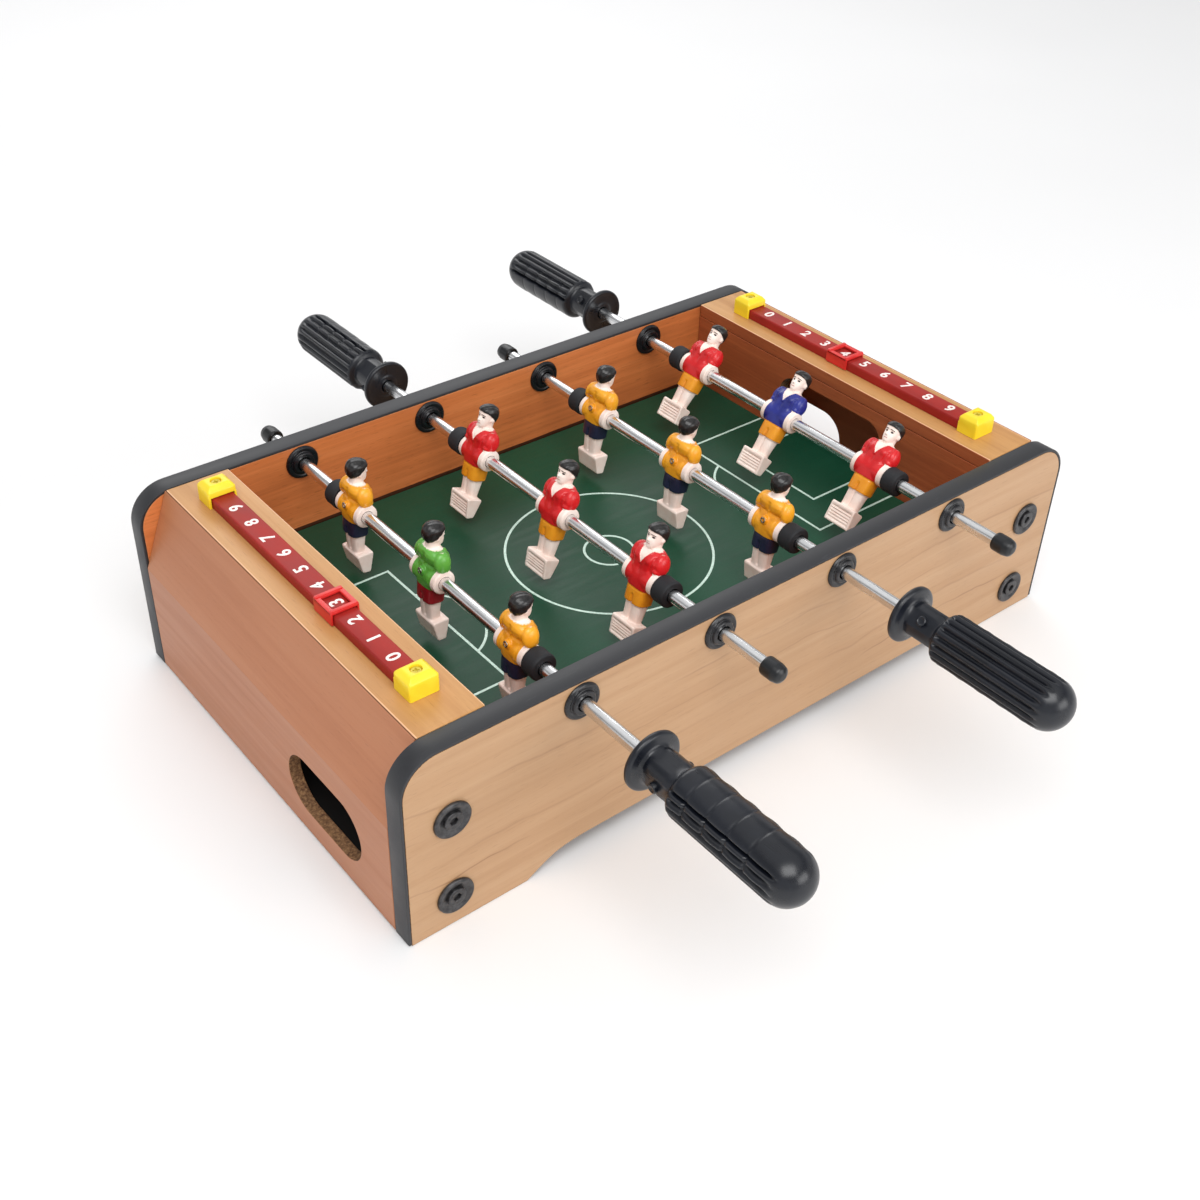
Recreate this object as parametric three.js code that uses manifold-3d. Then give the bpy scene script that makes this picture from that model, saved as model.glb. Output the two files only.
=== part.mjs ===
// Tabletop foosball (mini table football), four rods and twelve figures.
// Units: millimetres. +X runs along the pitch from goal to goal, +Y across it
// along the rods, +Z up. Origin: middle of the footprint, on the table top.
import * as THREE from 'three';
import { mergeVertices } from 'three/addons/utils/BufferGeometryUtils.js';
import Module from 'manifold-3d';

// ---------------------------------------------------------------- dimensions
const CABINET_L = 345;            // outer length of the side panels
const CABINET_W = 204;            // over the two side panels
const CABINET_H = 85;             // top of the side panels and shelves
const PANEL_T = 9;                // side panel thickness
const CORNER_R = 16;              // upper corners of the side panels
const TRIM_T = 1.2;               // plastic edge trim
const TRIM_GAP = 0.1;
const ARCH_FOOT_X = 121;          // inner end of each foot
const ARCH_FLAT_X = 93;           // where the raised bottom edge levels out
const ARCH_H = 8.6;               // finger gap below the side panel
const FIELD_TOP = 42.5;           // playing surface
const FIELD_T = 4;
const WALL_X = 131.5;             // inner face of the goal walls
const WALL_T = 6;
const WALL_BOTTOM = 6;
const SHELF_BOTTOM = 79;
const SHELF_X = 159.6;            // outer top corner of the shelf
const CREASE_Z = 51.5;            // where the sloping end face turns vertical
const CASING_T = 5;
const CASING_BOTTOM = 0.8;
const BOX_FLOOR_TOP = 11;
const GOAL_HALF_W = 32.5;
const GOAL_TOP = 72.4;
const GOAL_R = 9;
const RETURN_Y = 46.8;            // middle of the ball-return slot, off centre
const RETURN_Z = 24.9;
const RETURN_W = 51.6;
const RETURN_R = 13.2;
const SIDE_GAP = 0.3;             // end boards to side panels

const ROD_Z = 75.7;
const ROD_X = [-97.5, -32.3, 32.3, 97.5];
const ROD_R = 2.7;
const ROD_TILT = [6.5, 16, 12.5, 35];    // degrees, heads towards +X
const ROD_SHIFT = [-8, -2.6, -5.8, -1.5]; // rod position along Y
const SET_BACK = 4.75;                      // half of what the front handles reach out more than the rear ones
const ROD_HANDLE = [-1, 1, -1, 1];       // side of the handle
const HANDLE_FACE = 28.6;         // flange face beyond the cabinet, rod centred
const HANDLE_L = 74.6;
const CAP_END = 31;               // cap tip beyond the cabinet, rod centred
const CAP_L = 9;
const BORE_CLEAR = 0.35;

const FIG_PITCH = 56.4;
const HUB_HALF = 8.8;
const HUB_R = 5.0;
const BUMPER_R = 5.7;
const BUMPER_L = 7.2;
const BUSH_R = 7.7;
const BUSH_BODY_R = 5.6;
const BUSH_FLANGE_T = 2.3;

const RAIL_X = 145.4;
const RAIL_W = 9.6;
const RAIL_H = 4.6;
const BLOCK_W = 12.2;
const BLOCK_L = 10.4;
const BLOCK_H = 9.2;
const BLOCK_CH = 1.8;
const BLOCK_NOTCH = 2;            // how far each block reaches over the rail's end
const BLOCK_Y = { left: [-72.2, 73.9], right: [-72.6, 71.7] };
const DIGIT_PITCH = 12.8;
const SLIDER_L = 12.9;
const SLIDER_W = 11.8;
const SLIDER_H = 6.4;
const SLIDER_Y = [-4.5 * DIGIT_PITCH + 3 * DIGIT_PITCH, 4.5 * DIGIT_PITCH - 4 * DIGIT_PITCH];

// ------------------------------------------------------------------- helpers
const wasm = await Module();
wasm.setup();

function solid(geometry) {
  let g = geometry.index ? geometry.toNonIndexed() : geometry.clone();
  g.deleteAttribute('normal');
  if (g.attributes.uv) g.deleteAttribute('uv');
  g = mergeVertices(g, 1e-4);
  const pos = new Float32Array(g.attributes.position.array);
  const src = g.index.array;
  const tri = [];
  let volume = 0;
  const at = (i) => [pos[3 * i], pos[3 * i + 1], pos[3 * i + 2]];
  for (let i = 0; i < src.length; i += 3) {
    const [a, b, c] = [src[i], src[i + 1], src[i + 2]];
    if (a === b || b === c || c === a) continue;
    const [p, q, r] = [at(a), at(b), at(c)];
    volume += p[0] * (q[1] * r[2] - q[2] * r[1]) - p[1] * (q[0] * r[2] - q[2] * r[0]) + p[2] * (q[0] * r[1] - q[1] * r[0]);
    tri.push(a, b, c);
  }
  if (volume < 0) for (let i = 0; i < tri.length; i += 3) [tri[i + 1], tri[i + 2]] = [tri[i + 2], tri[i + 1]];
  return new wasm.Manifold(new wasm.Mesh({ numProp: 3, vertProperties: pos, triVerts: new Uint32Array(tri) }));
}

function shell(manifold) {
  const m = manifold.getMesh();
  const g = new THREE.BufferGeometry();
  const pos = new Float32Array(m.numVert * 3);
  for (let i = 0; i < m.numVert; i++) for (let k = 0; k < 3; k++) pos[3 * i + k] = m.vertProperties[i * m.numProp + k];
  g.setAttribute('position', new THREE.BufferAttribute(pos, 3));
  g.setIndex(new THREE.BufferAttribute(new Uint32Array(m.triVerts), 1));
  g.computeVertexNormals();
  return g;
}

function box(x0, x1, y0, y1, z0, z1) {
  const g = new THREE.BoxGeometry(x1 - x0, y1 - y0, z1 - z0);
  g.translate((x0 + x1) / 2, (y0 + y1) / 2, (z0 + z1) / 2);
  return g;
}

// outline in X and Z, extruded along Y from y0 to y1
function plateY(points, y0, y1) {
  const g = new THREE.ExtrudeGeometry(new THREE.Shape(points.map((p) => new THREE.Vector2(p[0], p[1]))), {
    depth: y1 - y0, bevelEnabled: false, steps: 1,
  });
  g.rotateX(Math.PI / 2);
  g.translate(0, y1, 0);
  return g;
}

// outline in Y and Z, extruded along X from x0 to x1
function plateX(points, x0, x1) {
  const g = new THREE.ExtrudeGeometry(new THREE.Shape(points.map((p) => new THREE.Vector2(p[0], p[1]))), {
    depth: x1 - x0, bevelEnabled: false, steps: 1,
  });
  g.rotateX(Math.PI / 2);
  g.rotateZ(Math.PI / 2);
  g.translate(x0, 0, 0);
  return g;
}

// profile of [radius, height] turned about +Y
function turned(profile, segments) {
  return new THREE.LatheGeometry(profile.map((p) => new THREE.Vector2(p[0], p[1])), segments);
}

function ring(profile, segments) {
  return turned([...profile, profile[0]], segments);
}

function arc(cx, cz, r, a0, a1, n) {
  const pts = [];
  for (let i = 0; i <= n; i++) {
    const a = THREE.MathUtils.degToRad(a0 + ((a1 - a0) * i) / n);
    pts.push([cx + r * Math.cos(a), cz + r * Math.sin(a)]);
  }
  return pts;
}

const finish = {
  maple: { color: 0xcfa277, roughness: 0.45, metalness: 0 },
  cherry: { color: 0xb0673a, roughness: 0.5, metalness: 0 },
  shelf: { color: 0xcd8c5a, roughness: 0.45, metalness: 0 },
  trim: { color: 0x41464e, roughness: 0.5, metalness: 0 },
  field: { color: 0x2f5a48, roughness: 0.55, metalness: 0 },
  steel: { color: 0xc8c8c6, roughness: 0.18, metalness: 1 },
  black: { color: 0x1b1d20, roughness: 0.35, metalness: 0 },
  rubber: { color: 0x202226, roughness: 0.75, metalness: 0 },
  yellow: { color: 0xf2d92e, roughness: 0.35, metalness: 0 },
  red: { color: 0xb5302a, roughness: 0.4, metalness: 0 },
  slider: { color: 0xd8342f, roughness: 0.35, metalness: 0 },
  teamYellow: { color: 0xf0a020, roughness: 0.3, metalness: 0 },
  teamRed: { color: 0xd02222, roughness: 0.3, metalness: 0 },
  keeperGreen: { color: 0x5fa845, roughness: 0.3, metalness: 0 },
  keeperBlue: { color: 0x28357f, roughness: 0.3, metalness: 0 },
};

const table = new THREE.Group();

function add(parent, name, geometry, look) {
  const mesh = new THREE.Mesh(geometry, new THREE.MeshStandardMaterial(finish[look]));
  mesh.name = name;
  parent.add(mesh);
  return mesh;
}

// -------------------------------------------------------------- side panels
const halfL = CABINET_L / 2;
const yOut = CABINET_W / 2;
const yIn = yOut - PANEL_T;

function sideOutline(inset) {
  const x = halfL - inset;
  const z = CABINET_H - inset;
  const r = CORNER_R - inset;
  return [
    ...arc(x - r, z - r, r, 0, 90, 7),
    ...arc(-x + r, z - r, r, 90, 180, 7),
  ];
}

const core = [
  [halfL - TRIM_T - TRIM_GAP, 0],
  ...sideOutline(TRIM_T + TRIM_GAP),
  [-halfL + TRIM_T + TRIM_GAP, 0],
  [-ARCH_FOOT_X, 0],
  [-ARCH_FOOT_X + 12.5, 6.6],
  [-ARCH_FOOT_X + 19, 8.1],
  [-ARCH_FLAT_X, ARCH_H],
  [ARCH_FLAT_X, ARCH_H],
  [ARCH_FOOT_X - 19, 8.1],
  [ARCH_FOOT_X - 12.5, 6.6],
  [ARCH_FOOT_X, 0],
];

const bushHole = (x, y0, y1) => {
  const g = new THREE.CylinderGeometry(BUSH_BODY_R + 0.3, BUSH_BODY_R + 0.3, y1 - y0, 14);
  g.translate(x, (y0 + y1) / 2, ROD_Z);
  return g;
};

function sidePanel(y0, y1) {
  let m = solid(plateY(core, y0, y1));
  for (const x of ROD_X) m = m.subtract(solid(bushHole(x, y0 - 2, y1 + 2)));
  return shell(m);
}
add(table, 'side_panel_front', sidePanel(-yOut, -yIn), 'maple');
add(table, 'side_panel_rear', sidePanel(yIn, yOut), 'maple');

const trimOutline = [
  [halfL, 0.6],
  ...sideOutline(0),
  [-halfL, 0.6],
  [-halfL + TRIM_T, 0.6],
  ...sideOutline(TRIM_T).reverse(),
  [halfL - TRIM_T, 0.6],
];
add(table, 'edge_trim_front', shell(solid(plateY(trimOutline, -yOut, -yIn))), 'trim');
add(table, 'edge_trim_rear', shell(solid(plateY(trimOutline, yIn, yOut))), 'trim');

// ------------------------------------------------------------ playing surface
const innerY = yIn - SIDE_GAP;
add(table, 'play_field', shell(solid(box(-WALL_X + 0.3, WALL_X - 0.3, -innerY, innerY, FIELD_TOP - FIELD_T, FIELD_TOP))), 'field');

// ------------------------------------------------------------------ goal ends
// One end is the other turned half a turn about the vertical axis.
const goalOutline = [
  [-GOAL_HALF_W, FIELD_TOP - 4.5],
  [GOAL_HALF_W, FIELD_TOP - 4.5],
  ...arc(GOAL_HALF_W - GOAL_R, GOAL_TOP - GOAL_R, GOAL_R, 0, 90, 5),
  ...arc(-GOAL_HALF_W + GOAL_R, GOAL_TOP - GOAL_R, GOAL_R, 90, 180, 5),
];
const slopeX = halfL - SHELF_X;
const slopeZ = CABINET_H - CREASE_Z;
const slopeLen = Math.hypot(slopeX, slopeZ);
const nx = slopeZ / slopeLen;      // outward normal of the sloping face
const nz = slopeX / slopeLen;
const inner = (z) => SHELF_X - CASING_T * nx + ((CABINET_H - CASING_T * nz - z) * slopeX) / slopeZ;
const mitreX = inner(SHELF_BOTTOM);
const casingIn = halfL - CASING_T;
const creaseInZ = CABINET_H - CASING_T * nz - ((casingIn - (SHELF_X - CASING_T * nx)) * slopeZ) / slopeX;

function endGroup(turn) {
  const g = new THREE.Group();
  g.rotation.z = turn;
  table.add(g);
  return g;
}
const ends = { right: endGroup(0), left: endGroup(Math.PI) };

for (const [side, g] of Object.entries(ends)) {
  const wall = solid(box(WALL_X, WALL_X + WALL_T, -innerY, innerY, WALL_BOTTOM, SHELF_BOTTOM - 0.3))
    .subtract(solid(plateX(goalOutline, WALL_X - 2, WALL_X + WALL_T + 2)));
  add(g, `goal_wall_${side}`, shell(wall), 'cherry');

  const shelf = plateY([
    [WALL_X, SHELF_BOTTOM],
    [mitreX - 0.25, SHELF_BOTTOM],
    [SHELF_X - 0.25, CABINET_H],
    [WALL_X, CABINET_H],
  ], -innerY, innerY);
  add(g, `end_shelf_${side}`, shell(solid(shelf)), 'shelf');

  const slot = [
    ...arc(RETURN_Y + RETURN_W / 2 - RETURN_R, RETURN_Z, RETURN_R, -90, 90, 8),
    ...arc(RETURN_Y - RETURN_W / 2 + RETURN_R, RETURN_Z, RETURN_R, 90, 270, 8),
  ];
  const casing = solid(plateY([
    [SHELF_X, CABINET_H],
    [mitreX, SHELF_BOTTOM],
    [casingIn, creaseInZ],
    [casingIn, BOX_FLOOR_TOP],
    [WALL_X + WALL_T + 0.4, BOX_FLOOR_TOP],
    [WALL_X + WALL_T + 0.4, BOX_FLOOR_TOP - CASING_T],
    [casingIn, BOX_FLOOR_TOP - CASING_T],
    [casingIn, CASING_BOTTOM],
    [halfL, CASING_BOTTOM],
    [halfL, CREASE_Z],
  ], -innerY, innerY)).subtract(solid(plateX(slot, casingIn - 3, halfL + 3)));
  add(g, `end_casing_${side}`, shell(casing), 'shelf');
}

// -------------------------------------------------------------- score counters
function scoreBlock() {
  const w = BLOCK_W / 2;
  const l = BLOCK_L / 2;
  const c = BLOCK_CH;
  const across = solid(plateY([[-w, 0], [w, 0], [w, BLOCK_H - c], [w - c, BLOCK_H], [-w + c, BLOCK_H], [-w, BLOCK_H - c]], -l, l));
  const along = solid(plateX([[-l, 0], [l, 0], [l, BLOCK_H - c], [l - c, BLOCK_H], [-l + c, BLOCK_H], [-l, BLOCK_H - c]], -w, w));
  const recess = new THREE.CylinderGeometry(2.3, 2.3, 4, 12);
  recess.rotateX(Math.PI / 2);
  recess.translate(0, 0, BLOCK_H);
  // the rail's end goes into a notch under the block's +Y side
  const notch = box(-RAIL_W / 2 - 0.3, RAIL_W / 2 + 0.3, l - BLOCK_NOTCH, l + 1, -1, RAIL_H + 0.3);
  return shell(across.intersect(along).subtract(solid(recess)).subtract(solid(notch)));
}

function scoreSlider() {
  const w = SLIDER_W / 2;
  const l = SLIDER_L / 2;
  const m = solid(box(-w, w, -l, l, 0.3, SLIDER_H))
    .subtract(solid(box(-RAIL_W / 2 - 0.3, RAIL_W / 2 + 0.3, -l - 1, l + 1, -1, RAIL_H + 0.3)))
    .subtract(solid(box(-3.9, 3.9, -l + 2.1, l - 2.1, 0, SLIDER_H + 1)));
  return shell(m);
}

for (const [i, side, sx] of [[0, 'left', -1], [1, 'right', 1]]) {
  const reach = BLOCK_L / 2 - BLOCK_NOTCH + 0.3;
  add(table, `score_rail_${side}`, shell(solid(box(
    sx * RAIL_X - RAIL_W / 2, sx * RAIL_X + RAIL_W / 2, BLOCK_Y[side][0] + reach, BLOCK_Y[side][1] - reach, CABINET_H, CABINET_H + RAIL_H))), 'red');
  for (const [k, end] of [[0, 'front'], [1, 'rear']]) {
    const b = add(table, `score_block_${side}_${end}`, scoreBlock(), 'yellow');
    b.position.set(sx * RAIL_X, BLOCK_Y[side][k], CABINET_H);
    b.rotation.z = k * Math.PI;
  }
  const s = add(table, `score_slider_${side}`, scoreSlider(), 'slider');
  s.position.set(sx * RAIL_X, SLIDER_Y[i], CABINET_H);
}

// -------------------------------------------------------------- rod bushings
function bushing() {
  const b = ROD_R + BORE_CLEAR + 0.1;
  const h = PANEL_T / 2;
  return shell(solid(ring([
    [b, -h - BUSH_FLANGE_T], [BUSH_R - 1.2, -h - BUSH_FLANGE_T], [BUSH_R, -h - 0.3], [BUSH_BODY_R, -h - 0.3],
    [BUSH_BODY_R, h + 0.3], [BUSH_R, h + 0.3], [BUSH_R - 1.2, h + BUSH_FLANGE_T], [b, h + BUSH_FLANGE_T],
  ], 14)));
}
for (let i = 0; i < 4; i++) {
  for (const [side, s] of [['front', -1], ['rear', 1]]) {
    const m = add(table, `bushing_${i + 1}_${side}`, bushing(), 'black');
    m.position.set(ROD_X[i], s * (yOut - PANEL_T / 2), ROD_Z);
  }
}

// -------------------------------------------------------------------- figure
// Local frame: rod axis along Y through the origin, up +Z, chest towards +X.
function figure() {
  const hub = new THREE.CylinderGeometry(HUB_R, HUB_R, 2 * HUB_HALF, 12);
  // torso seen from the front, swept through the chest depth
  const torso = plateX([
    [-5.9, -4.5], [5.9, -4.5], [8.3, 5.2], [8.0, 9.2], [5.4, 11.8], [2.4, 13.2],
    [-2.4, 13.2], [-5.4, 11.8], [-8.0, 9.2], [-8.3, 5.2],
  ], -4.0, 4.3);
  const head = new THREE.IcosahedronGeometry(5, 1);
  head.scale(0.86, 0.84, 0.96);
  head.translate(-0.5, 0, 17.8);
  const legs = plateY([
    [-3.9, -3], [4.1, -3], [3.2, -12], [2.9, -22], [-2.2, -22], [-3.0, -12],
  ], -4.4, 4.4);
  const foot = plateY([
    [-2.4, -20.4], [5.2, -19.4], [4.2, -28.5], [0.4, -28.5],
  ], -6.8, 6.8);
  const bore = new THREE.CylinderGeometry(ROD_R + BORE_CLEAR, ROD_R + BORE_CLEAR, 4 * HUB_HALF, 12);
  return shell(solid(hub).add(solid(torso)).add(solid(head)).add(solid(legs)).add(solid(foot)).subtract(solid(bore)));
}

// --------------------------------------------------------------- rod handles
// Local frame: +Y runs from the flange face to the tip.
const HANDLE_BORE = 18.5;
function handle() {
  const b = ROD_R + BORE_CLEAR;
  return shell(solid(turned([
    [0, HANDLE_BORE], [b, HANDLE_BORE], [b, 0], [11.2, 0], [11.7, 1.2], [11.2, 2.4], [7.0, 3.6], [6.8, 15.8],
    [9.5, 18.2], [10.2, 20.6], [10.2, 64], [8.4, 70.4], [4.6, 73.8], [0, HANDLE_L],
  ], 16)));
}

function rodCap() {
  const b = ROD_R + BORE_CLEAR;
  return shell(solid(turned([
    [0, CAP_L - 2.4], [b, CAP_L - 2.4], [b, 0], [3.75, 0], [3.95, 5.2], [3.1, 7.8], [0, CAP_L],
  ], 12)));
}

function bumper() {
  const b = ROD_R + BORE_CLEAR;
  return shell(solid(ring([
    [b, -BUMPER_L / 2], [BUMPER_R, -BUMPER_L / 2], [BUMPER_R, BUMPER_L / 2], [b, BUMPER_L / 2],
  ], 16)));
}

// ----------------------------------------------------------------------- rods
const squads = [
  ['teamYellow', 'keeperGreen', 'teamYellow'],
  ['teamRed', 'teamRed', 'teamRed'],
  ['teamYellow', 'teamYellow', 'teamYellow'],
  ['teamRed', 'keeperBlue', 'teamRed'],
];
const places = ['front', 'middle', 'rear'];

for (let i = 0; i < 4; i++) {
  const n = i + 1;
  const facing = i % 2 === 0 ? 0 : Math.PI;
  const hand = ROD_HANDLE[i];
  const rodGroup = new THREE.Group();
  rodGroup.position.set(ROD_X[i], ROD_SHIFT[i], ROD_Z);
  table.add(rodGroup);
  const turning = new THREE.Group();
  turning.rotation.y = THREE.MathUtils.degToRad(ROD_TILT[i]);
  rodGroup.add(turning);

  // the rod runs from inside its cap to inside its handle
  const capEnd = yOut + CAP_END - 2.7;
  const handleEnd = yOut + HANDLE_FACE + HANDLE_BORE - 0.4;
  const length = capEnd + handleEnd;
  const rod = new THREE.CylinderGeometry(ROD_R, ROD_R, length, 12);
  rod.translate(0, (hand * (handleEnd - capEnd)) / 2, 0);
  add(turning, `rod_${n}`, shell(solid(rod)), 'steel');

  const grip = add(turning, `handle_${n}`, handle(), 'black');
  grip.position.y = hand * (yOut + HANDLE_FACE);
  if (hand < 0) grip.rotation.x = Math.PI;

  const cap = add(turning, `rod_cap_${n}`, rodCap(), 'black');
  cap.position.y = -hand * (yOut + CAP_END - CAP_L);
  if (hand > 0) cap.rotation.x = Math.PI;

  for (let k = 0; k < 3; k++) {
    const f = add(turning, `figure_${n}_${places[k]}`, figure(), squads[i][k]);
    f.position.y = (k - 1) * FIG_PITCH;
    f.rotation.z = facing;
  }
  for (const [side, s] of [['front', -1], ['rear', 1]]) {
    const m = add(rodGroup, `bumper_${n}_${side}`, bumper(), 'rubber');
    m.position.y = s * (FIG_PITCH + HUB_HALF + 0.3 + BUMPER_L / 2);
  }
}

// the rods stand a little towards the front, so the whole is set back to centre its footprint
table.position.y = SET_BACK;

export default table;
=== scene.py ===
import math

import bpy
import bmesh
import numpy as np
from mathutils import Matrix, Vector
from mathutils.geometry import tessellate_polygon


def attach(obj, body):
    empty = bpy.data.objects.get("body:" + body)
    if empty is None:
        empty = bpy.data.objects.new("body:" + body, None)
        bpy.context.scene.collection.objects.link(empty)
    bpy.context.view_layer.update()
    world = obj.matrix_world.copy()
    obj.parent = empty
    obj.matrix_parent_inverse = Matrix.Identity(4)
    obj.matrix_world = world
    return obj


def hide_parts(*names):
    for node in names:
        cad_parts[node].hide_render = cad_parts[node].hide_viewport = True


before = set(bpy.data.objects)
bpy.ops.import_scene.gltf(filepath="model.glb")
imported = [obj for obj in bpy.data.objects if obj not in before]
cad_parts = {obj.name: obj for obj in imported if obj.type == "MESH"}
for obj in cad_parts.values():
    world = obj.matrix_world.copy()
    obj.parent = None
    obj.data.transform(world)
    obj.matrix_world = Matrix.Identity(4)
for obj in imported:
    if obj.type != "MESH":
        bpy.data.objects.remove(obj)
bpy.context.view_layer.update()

scene = bpy.context.scene
MM = 0.001

# --------------------------------------------------------------- dimensions
# Millimetres, the same numbers as the CAD model.
HALF_L, CAB_W, CAB_H, PANEL_T = 172.5, 204.0, 85.0, 9.0
Y_OUT, Y_IN = 102.0, 93.0
CORNER_R, TRIM_T = 16.0, 1.2
FIELD_TOP, WALL_X, WALL_T = 42.5, 131.5, 6.0
SHELF_BOTTOM, SHELF_X, CREASE_Z, CASING_T = 79.0, 159.6, 51.5, 5.0
GOAL_HALF, GOAL_TOP, GOAL_R = 32.5, 72.4, 9.0
RET_Y, RET_Z, RET_W, RET_R = 46.8, 24.9, 51.6, 13.2
INNER_Y = Y_IN - 0.3
ROD_Z, ROD_R = 75.7, 2.7
ROD_X = [-97.5, -32.3, 32.3, 97.5]
ROD_TILT = [6.5, 16.0, 12.5, 35.0]
ROD_SHIFT = [-8.0, -2.6, -5.8, -1.5]
ROD_HAND = [-1, 1, -1, 1]
HANDLE_FACE, HANDLE_L, HANDLE_BORE = 28.6, 74.6, 18.5
CAP_END, CAP_L = 31.0, 9.0
FIG_PITCH, HUB_HALF, HUB_R = 56.4, 8.8, 5.0
BUMPER_R, BUMPER_L = 5.7, 7.2
RAIL_X, RAIL_W, RAIL_H = 145.4, 9.6, 4.6
BLOCK_L, BLOCK_NOTCH = 10.4, 2.0
BLOCK_Y = {"left": (-72.2, 73.9), "right": (-72.6, 71.7)}
DIGIT_PITCH = 12.8
SLIDER_Y = {"left": -19.2, "right": 6.4}
BOLT_X, BOLT_Z = 152.7, (51.7, 14.2)
SET_BACK = 4.75                 # the cabinet's middle lies this far from the origin along Y


# lower edge of the figures' hair: (forward, height) in the figure's own frame
HAIR = ((-6.0, 13.9), (-3.6, 15.0), (-1.9, 16.6), (0.0, 18.2), (1.2, 19.2), (2.6, 19.9), (6.0, 20.5))


# ------------------------------------------------------------- mesh helpers
def build(name, verts, faces, matrix=None, body="cabinet", mats=(), angle=32.0,
          loc=None, slot=None, stands_for=(), face_mats=None):
    """A closed mesh in millimetres becomes a piece in metres that rides on a body."""
    me = bpy.data.meshes.new(name)
    me.from_pydata([tuple(v) for v in verts], [], [tuple(f) for f in faces])
    if face_mats is not None:
        me.polygons.foreach_set("material_index", np.array(face_mats, np.int32))
    bm = bmesh.new()
    bm.from_mesh(me)
    bmesh.ops.dissolve_degenerate(bm, dist=1e-6, edges=bm.edges)
    bmesh.ops.recalc_face_normals(bm, faces=bm.faces)
    bm.to_mesh(me)
    bm.free()
    return place(name, me, matrix, body, mats, angle, stands_for)


def place(name, me, matrix=None, body="cabinet", mats=(), angle=32.0, stands_for=()):
    co = np.zeros(len(me.vertices) * 3, np.float32)
    me.vertices.foreach_get("co", co)
    attribute = me.attributes.get("loc") or me.attributes.new("loc", "FLOAT_VECTOR", "POINT")
    attribute.data.foreach_set("vector", co)
    m = matrix.copy() if matrix is not None else Matrix.Identity(4)
    me.transform(Matrix.Diagonal((MM, MM, MM, 1.0)) @ Matrix.Translation((0, SET_BACK, 0)) @ m)
    me.polygons.foreach_set("use_smooth", [True] * len(me.polygons))
    me.set_sharp_from_angle(angle=math.radians(angle))
    for m_ in mats:
        me.materials.append(m_)
    ob = bpy.data.objects.new(name, me)
    scene.collection.objects.link(ob)
    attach(ob, body)
    if stands_for:
        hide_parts(*stands_for)
    return ob


def join(*parts):
    """Several closed shells in one list of vertices and faces."""
    verts, faces = [], []
    for v, f in parts:
        n = len(verts)
        verts += [tuple(p) for p in v]
        faces += [tuple(i + n for i in q) for q in f]
    return verts, faces


def moved(part, matrix):
    v, f = part
    return [tuple(matrix @ Vector(p)) for p in v], f


def area2(loop):
    return 0.5 * sum(loop[i - 1][0] * p[1] - p[0] * loop[i - 1][1] for i, p in enumerate(loop))


def offset2(loop, d):
    """The loop moved to its left by d, with mitred corners."""
    if abs(d) < 1e-9:
        return [tuple(p) for p in loop]
    p = np.array(loop, float)
    e = np.roll(p, -1, 0) - p
    e /= np.maximum(np.linalg.norm(e, axis=1, keepdims=True), 1e-12)
    n = np.stack([-e[:, 1], e[:, 0]], 1)
    before = np.roll(n, 1, 0)
    s = n + before
    k = np.maximum(1.0 + (n * before).sum(1, keepdims=True), 0.25)
    return [tuple(q) for q in p + d * s / k]


def prism(loops, z0, z1, b=0.0, steps=2, rings=None):
    """Outline loops in X and Y (the first one outside, the rest holes) raised from z0 to z1, edges rounded by b."""
    fixed = []
    for i, l in enumerate(loops):
        a = area2(l)
        fixed.append(list(l) if (a > 0) == (i == 0) else list(reversed(l)))
    if rings is None:
        if b > 0:
            q = [math.pi / 2 * k / steps for k in range(steps + 1)]
            rings = [(b * (1 - math.sin(a)), z0 + b * (1 - math.cos(a))) for a in q]
            rings += [(b * (1 - math.cos(a)), z1 - b * (1 - math.sin(a))) for a in q]
        else:
            rings = [(0.0, z0), (0.0, z1)]
    verts, faces, index = [], [], []
    for d, z in rings:
        row = []
        for l in fixed:
            row.append(list(range(len(verts), len(verts) + len(l))))
            verts += [(x, y, z) for x, y in offset2(l, d)]
        index.append(row)
    for lower, upper in zip(index, index[1:]):
        for a, c in zip(lower, upper):
            n = len(a)
            faces += [(a[i], a[(i + 1) % n], c[(i + 1) % n], c[i]) for i in range(n)]
    for row, flip in ((index[0], True), (index[-1], False)):
        ids = [i for l in row for i in l]
        tris = tessellate_polygon([[Vector((verts[i][0], verts[i][1], 0)) for i in l] for l in row])
        faces += [tuple(ids[i] for i in (reversed(t) if flip else t)) for t in tris]
    return verts, faces


def lathe(profile, segs=48, closed=False):
    """A profile of (radius, height) turned about +Y. Open profiles begin and end on the axis."""
    verts, faces, rows = [], [], []
    for r, y in profile:
        if r < 1e-6:
            rows.append([len(verts)])
            verts.append((0.0, y, 0.0))
        else:
            rows.append(list(range(len(verts), len(verts) + segs)))
            verts += [(r * math.sin(2 * math.pi * k / segs), y, r * math.cos(2 * math.pi * k / segs)) for k in range(segs)]
    pairs = list(zip(rows, rows[1:])) + ([(rows[-1], rows[0])] if closed else [])
    for a, c in pairs:
        for k in range(segs):
            j = (k + 1) % segs
            if len(a) == 1 and len(c) == 1:
                continue
            if len(a) == 1:
                faces.append((a[0], c[j], c[k]))
            elif len(c) == 1:
                faces.append((a[k], a[j], c[0]))
            else:
                faces.append((a[k], a[j], c[j], c[k]))
    return verts, faces


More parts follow.
